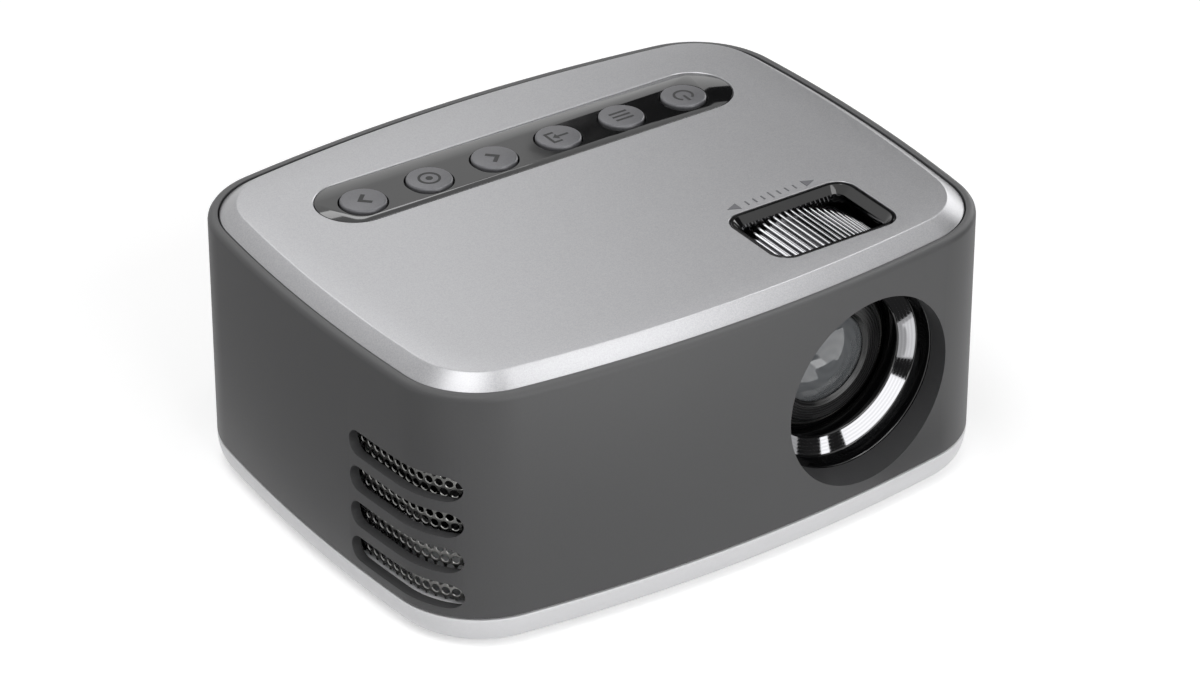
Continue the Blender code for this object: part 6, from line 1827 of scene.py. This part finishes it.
# Each card lies or stands where some face of the object mirrors it for the camera.
CARDS = (
    flat_card("bright_card_behind", 4.2, CARD_HIGH, (-0.25, 0.44), (0.3, 0.44), (0.34, 0.62), (-0.25, 0.62)),
    flat_card("bright_card_over", 5.5, CARD_HIGH, (0.1, -0.32), (0.28, -0.32), (0.28, -0.12), (0.1, -0.12)),
    flat_card("bright_card_edge", 9, CARD_HIGH, (0.16, 0.1), (0.42, 0.1), (0.42, 0.22), (0.16, 0.22)),
    wall_card("bright_card_right", 3.4, (0.41, 0.01), (0.41, 0.25), 0.08, 0.3),
    flat_card("bright_card_low", 3.6, CARD_LOW, (0.0, -0.135), (0.06, -0.135), (0.06, -0.7), (-0.06, -0.7)),
    wall_card("bright_card_front", 3.6, (-0.06, -0.7), (0.34, -0.7), CARD_LOW, CARD_SIDE_TOP),
    wall_card("bright_card_side", 3.6, (0.47, -0.7), (0.74, -0.7), 0.04, CARD_SIDE_TOP),
    flat_card("bright_card_near", 2.2, CARD_LOW, (0.034, -0.097), (0.052, -0.094), (0.052, -0.072),
              (0.04, -0.073)),
    flat_card("dark_flag_low", BLACK_FLAG, CARD_LOW, (0.02, -0.098), (0.052, -0.098), (0.052, -0.134),
              (0.02, -0.134)),
    flat_card("dark_flag_under", 0.05, CARD_LOW, (0.038, -0.052), (0.064, -0.052), (0.06, -0.071),
              (0.038, -0.071)),
    wall_card("dark_flag_front", BLACK_FLAG, (0.34, -0.69), (0.47, -0.69), CARD_LOW, CARD_SIDE_TOP),
    wall_card("dark_flag_side", BLACK_FLAG, (0.74, -0.69), (1.6, -0.69), CARD_LOW, CARD_SIDE_TOP),
    flat_card("dark_flag_floor", BLACK_FLAG, CARD_LOW, (0.24, -0.2), (0.6, -0.2), (0.9, -0.68),
              (0.45, -0.68)),
    wall_card("dark_flag_right", BLACK_FLAG, (0.4, -0.5), (0.4, -0.01), CARD_LOW, 0.3),
    flat_card("dark_flag_left", 0.5, CARD_LOW, (-0.07, -0.06), (-0.07, 0.3), (-0.6, 0.6), (-0.6, -0.06)),
)


@dataclass(frozen=True)
class Lamp:
    """A rectangular soft lamp: its place, its width and height, and its power in watts."""

    name: str
    place: tuple[float, float, float]
    size: tuple[float, float]
    power: float


LAMPS = (Lamp("key_lamp", (0.05, -0.95, 0.6), (0.8, 0.5), 4.0),
         Lamp("top_lamp", (-0.3, -0.1, 1.1), (0.6, 0.6), 4.0))


@dataclass
class Studio:
    """Camera, lights, floor, world and the cards that shape the reflections."""

    lens: float = 144.37
    sensor: float = 36.0
    azimuth: float = radians(-34.483)
    elevation: float = radians(31.049)
    roll: float = radians(0.079)
    place: tuple[float, float, float] = (-0.434495, -0.635161, 0.487974)
    floor_size: float = 6.0
    ambient: float = 0.42
    floor_glow: float = 0.45
    aim: tuple[float, float, float] = (0, 0, 0.03)
    top_flag_height: float = 0.22
    top_flag: tuple[tuple[float, float], ...] = ((0.0005, 0.0224), (0.26, 0.161), (0.26, -0.2),
                                                 (0.06, -0.14), (0.02, -0.06))

    def set_camera(self) -> None:
        """Place the camera as the photograph has it."""
        back = Vector((sin(self.azimuth) * cos(self.elevation), -cos(self.azimuth) * cos(self.elevation),
                       sin(self.elevation)))
        level = Vector((cos(self.azimuth), sin(self.azimuth), 0))
        over = back.cross(level)
        right = level * cos(self.roll) + over * sin(self.roll)
        top = over * cos(self.roll) - level * sin(self.roll)
        camera = bpy.data.objects.new("camera", bpy.data.cameras.new("camera"))
        camera.data.lens, camera.data.sensor_width = self.lens, self.sensor
        turn = Matrix((right, top, back)).transposed().to_4x4()
        camera.matrix_world = Matrix.Translation(self.place) @ turn
        bpy.context.scene.collection.objects.link(camera)
        bpy.context.scene.camera = camera
        bpy.context.scene.view_settings.view_transform = 'Standard'

    def hang(self, lamp: Lamp) -> None:
        """Hang a lamp so that it faces the object.

        Args:
            lamp: the lamp.
        """
        light = bpy.data.objects.new(lamp.name, bpy.data.lights.new(lamp.name, 'AREA'))
        light.data.shape, light.data.size, light.data.size_y = 'RECTANGLE', *lamp.size
        light.data.energy = lamp.power
        turn = (Vector(self.aim) - Vector(lamp.place)).to_track_quat('-Z', 'Y').to_matrix().to_4x4()
        light.matrix_world = Matrix.Translation(lamp.place) @ turn
        bpy.context.scene.collection.objects.link(light)

    def hold_up(self, card: Card) -> None:
        """Hold up a card that only reflections see: a black flag, or a bright one.

        Args:
            card: the card.
        """
        shape = bmesh.new()
        shape.faces.new([shape.verts.new(corner) for corner in card.corners])
        piece = loose(shape, card.name)
        stuff = bpy.data.materials.new(card.name)
        stuff.use_nodes = True
        tree = stuff.node_tree
        glow = add_node(tree, "Emission", {}, {"Color": (1, 1, 1, 1), "Strength": card.strength})
        tree.links.new(glow.outputs[0], tree.nodes["Material Output"].inputs["Surface"])
        piece.data.materials.append(stuff)
        piece.visible_camera = piece.visible_diffuse = piece.visible_shadow = False

    def bright_rays(self, tree: bpy.types.NodeTree) -> bpy.types.NodeSocket:
        """One for the rays that should see the studio as plain white.

        Args:
            tree: the material's or world's tree.

        Returns:
            A socket that is one for those rays.
        """
        path = add_node(tree, "LightPath")
        first = add_node(tree, "Math", {"operation": 'MAXIMUM'},
                         {0: path.outputs["Is Camera Ray"], 1: path.outputs["Is Glossy Ray"]})
        both = add_node(tree, "Math", {"operation": 'MAXIMUM'},
                        {0: first.outputs[0], 1: path.outputs["Is Transmission Ray"]})
        return both.outputs[0]

    def set_world(self) -> None:
        """White for what sees it, softer for what it lights."""
        world = bpy.data.worlds.new("studio_white")
        world.use_nodes = True
        tree = world.node_tree
        strength = add_node(tree, "MapRange", {}, {"Value": self.bright_rays(tree), "To Min": self.ambient,
                                                   "To Max": 1.0})
        background = tree.nodes["Background"]
        background.inputs["Color"].default_value = (1, 1, 1, 1)
        tree.links.new(strength.outputs[0], background.inputs["Strength"])
        bpy.context.scene.world = world

    def lay_floor(self) -> None:
        """A pale floor that is white where nothing shades it."""
        shape = bmesh.new()
        bmesh.ops.create_grid(shape, x_segments=1, y_segments=1, size=self.floor_size / 2)
        floor = loose(shape, "studio_floor")
        paper = bpy.data.materials.new("pale_paper_floor")
        paper.use_nodes = True
        tree = paper.node_tree
        shader = tree.nodes["Principled BSDF"]
        shader.inputs["Base Color"].default_value = linear("E6E6E6")
        shader.inputs["Roughness"].default_value = 0.9
        shader.inputs["Specular IOR Level"].default_value = 0.0
        shader.inputs["Emission Color"].default_value = (1, 1, 1, 1)
        glow = add_node(tree, "Math", {"operation": 'MULTIPLY'},
                        {0: self.bright_rays(tree), 1: self.floor_glow})
        tree.links.new(glow.outputs[0], shader.inputs["Emission Strength"])
        floor.data.materials.append(paper)

    def over_top(self) -> Card:
        """Place a black flag so that the top, seen from the camera, mirrors it at given places.

        Returns:
            The card.
        """
        eye = Vector(self.place)
        corners = []
        for x, y in self.top_flag:
            place = Vector((x, y, PLATE_HIGH.z))
            ray = place - eye
            corners.append((*(place + Vector((ray.x, ray.y, -ray.z)) * (self.top_flag_height / -ray.z)),))
        return Card("dark_flag_behind", BLACK_FLAG, tuple(corners))

    def build(self) -> None:
        """Set up everything but the object."""
        self.set_camera()
        self.set_world()
        self.lay_floor()
        for lamp in LAMPS:
            self.hang(lamp)
        for card in (self.over_top(), *CARDS):
            self.hold_up(card)


def main() -> None:
    """Build the pieces in order and report each."""
    logging.basicConfig(level=logging.INFO, format="%(message)s")
    Studio().build()
    vents, keys, slot = Vents(), KeyRow(), FocusSlot()
    SideShell().build(vents)
    vents.build_sheet()
    CoverPlate().build(keys, slot)
    keys.build_strip()
    keys.build_keys()
    slot.build_frame()
    slot.build_marks()
    BottomTray().build()
    wheel, lens = FocusWheel(), LensGroup()
    wheel.build()
    lens.build_trim()
    lens.build_barrel(wheel)
    lens.build_retainer()
    lens.build_glass()
    RearSockets().build()
    Underside().build()
    InnerParts().dress()


if __name__ == "__main__":
    main()
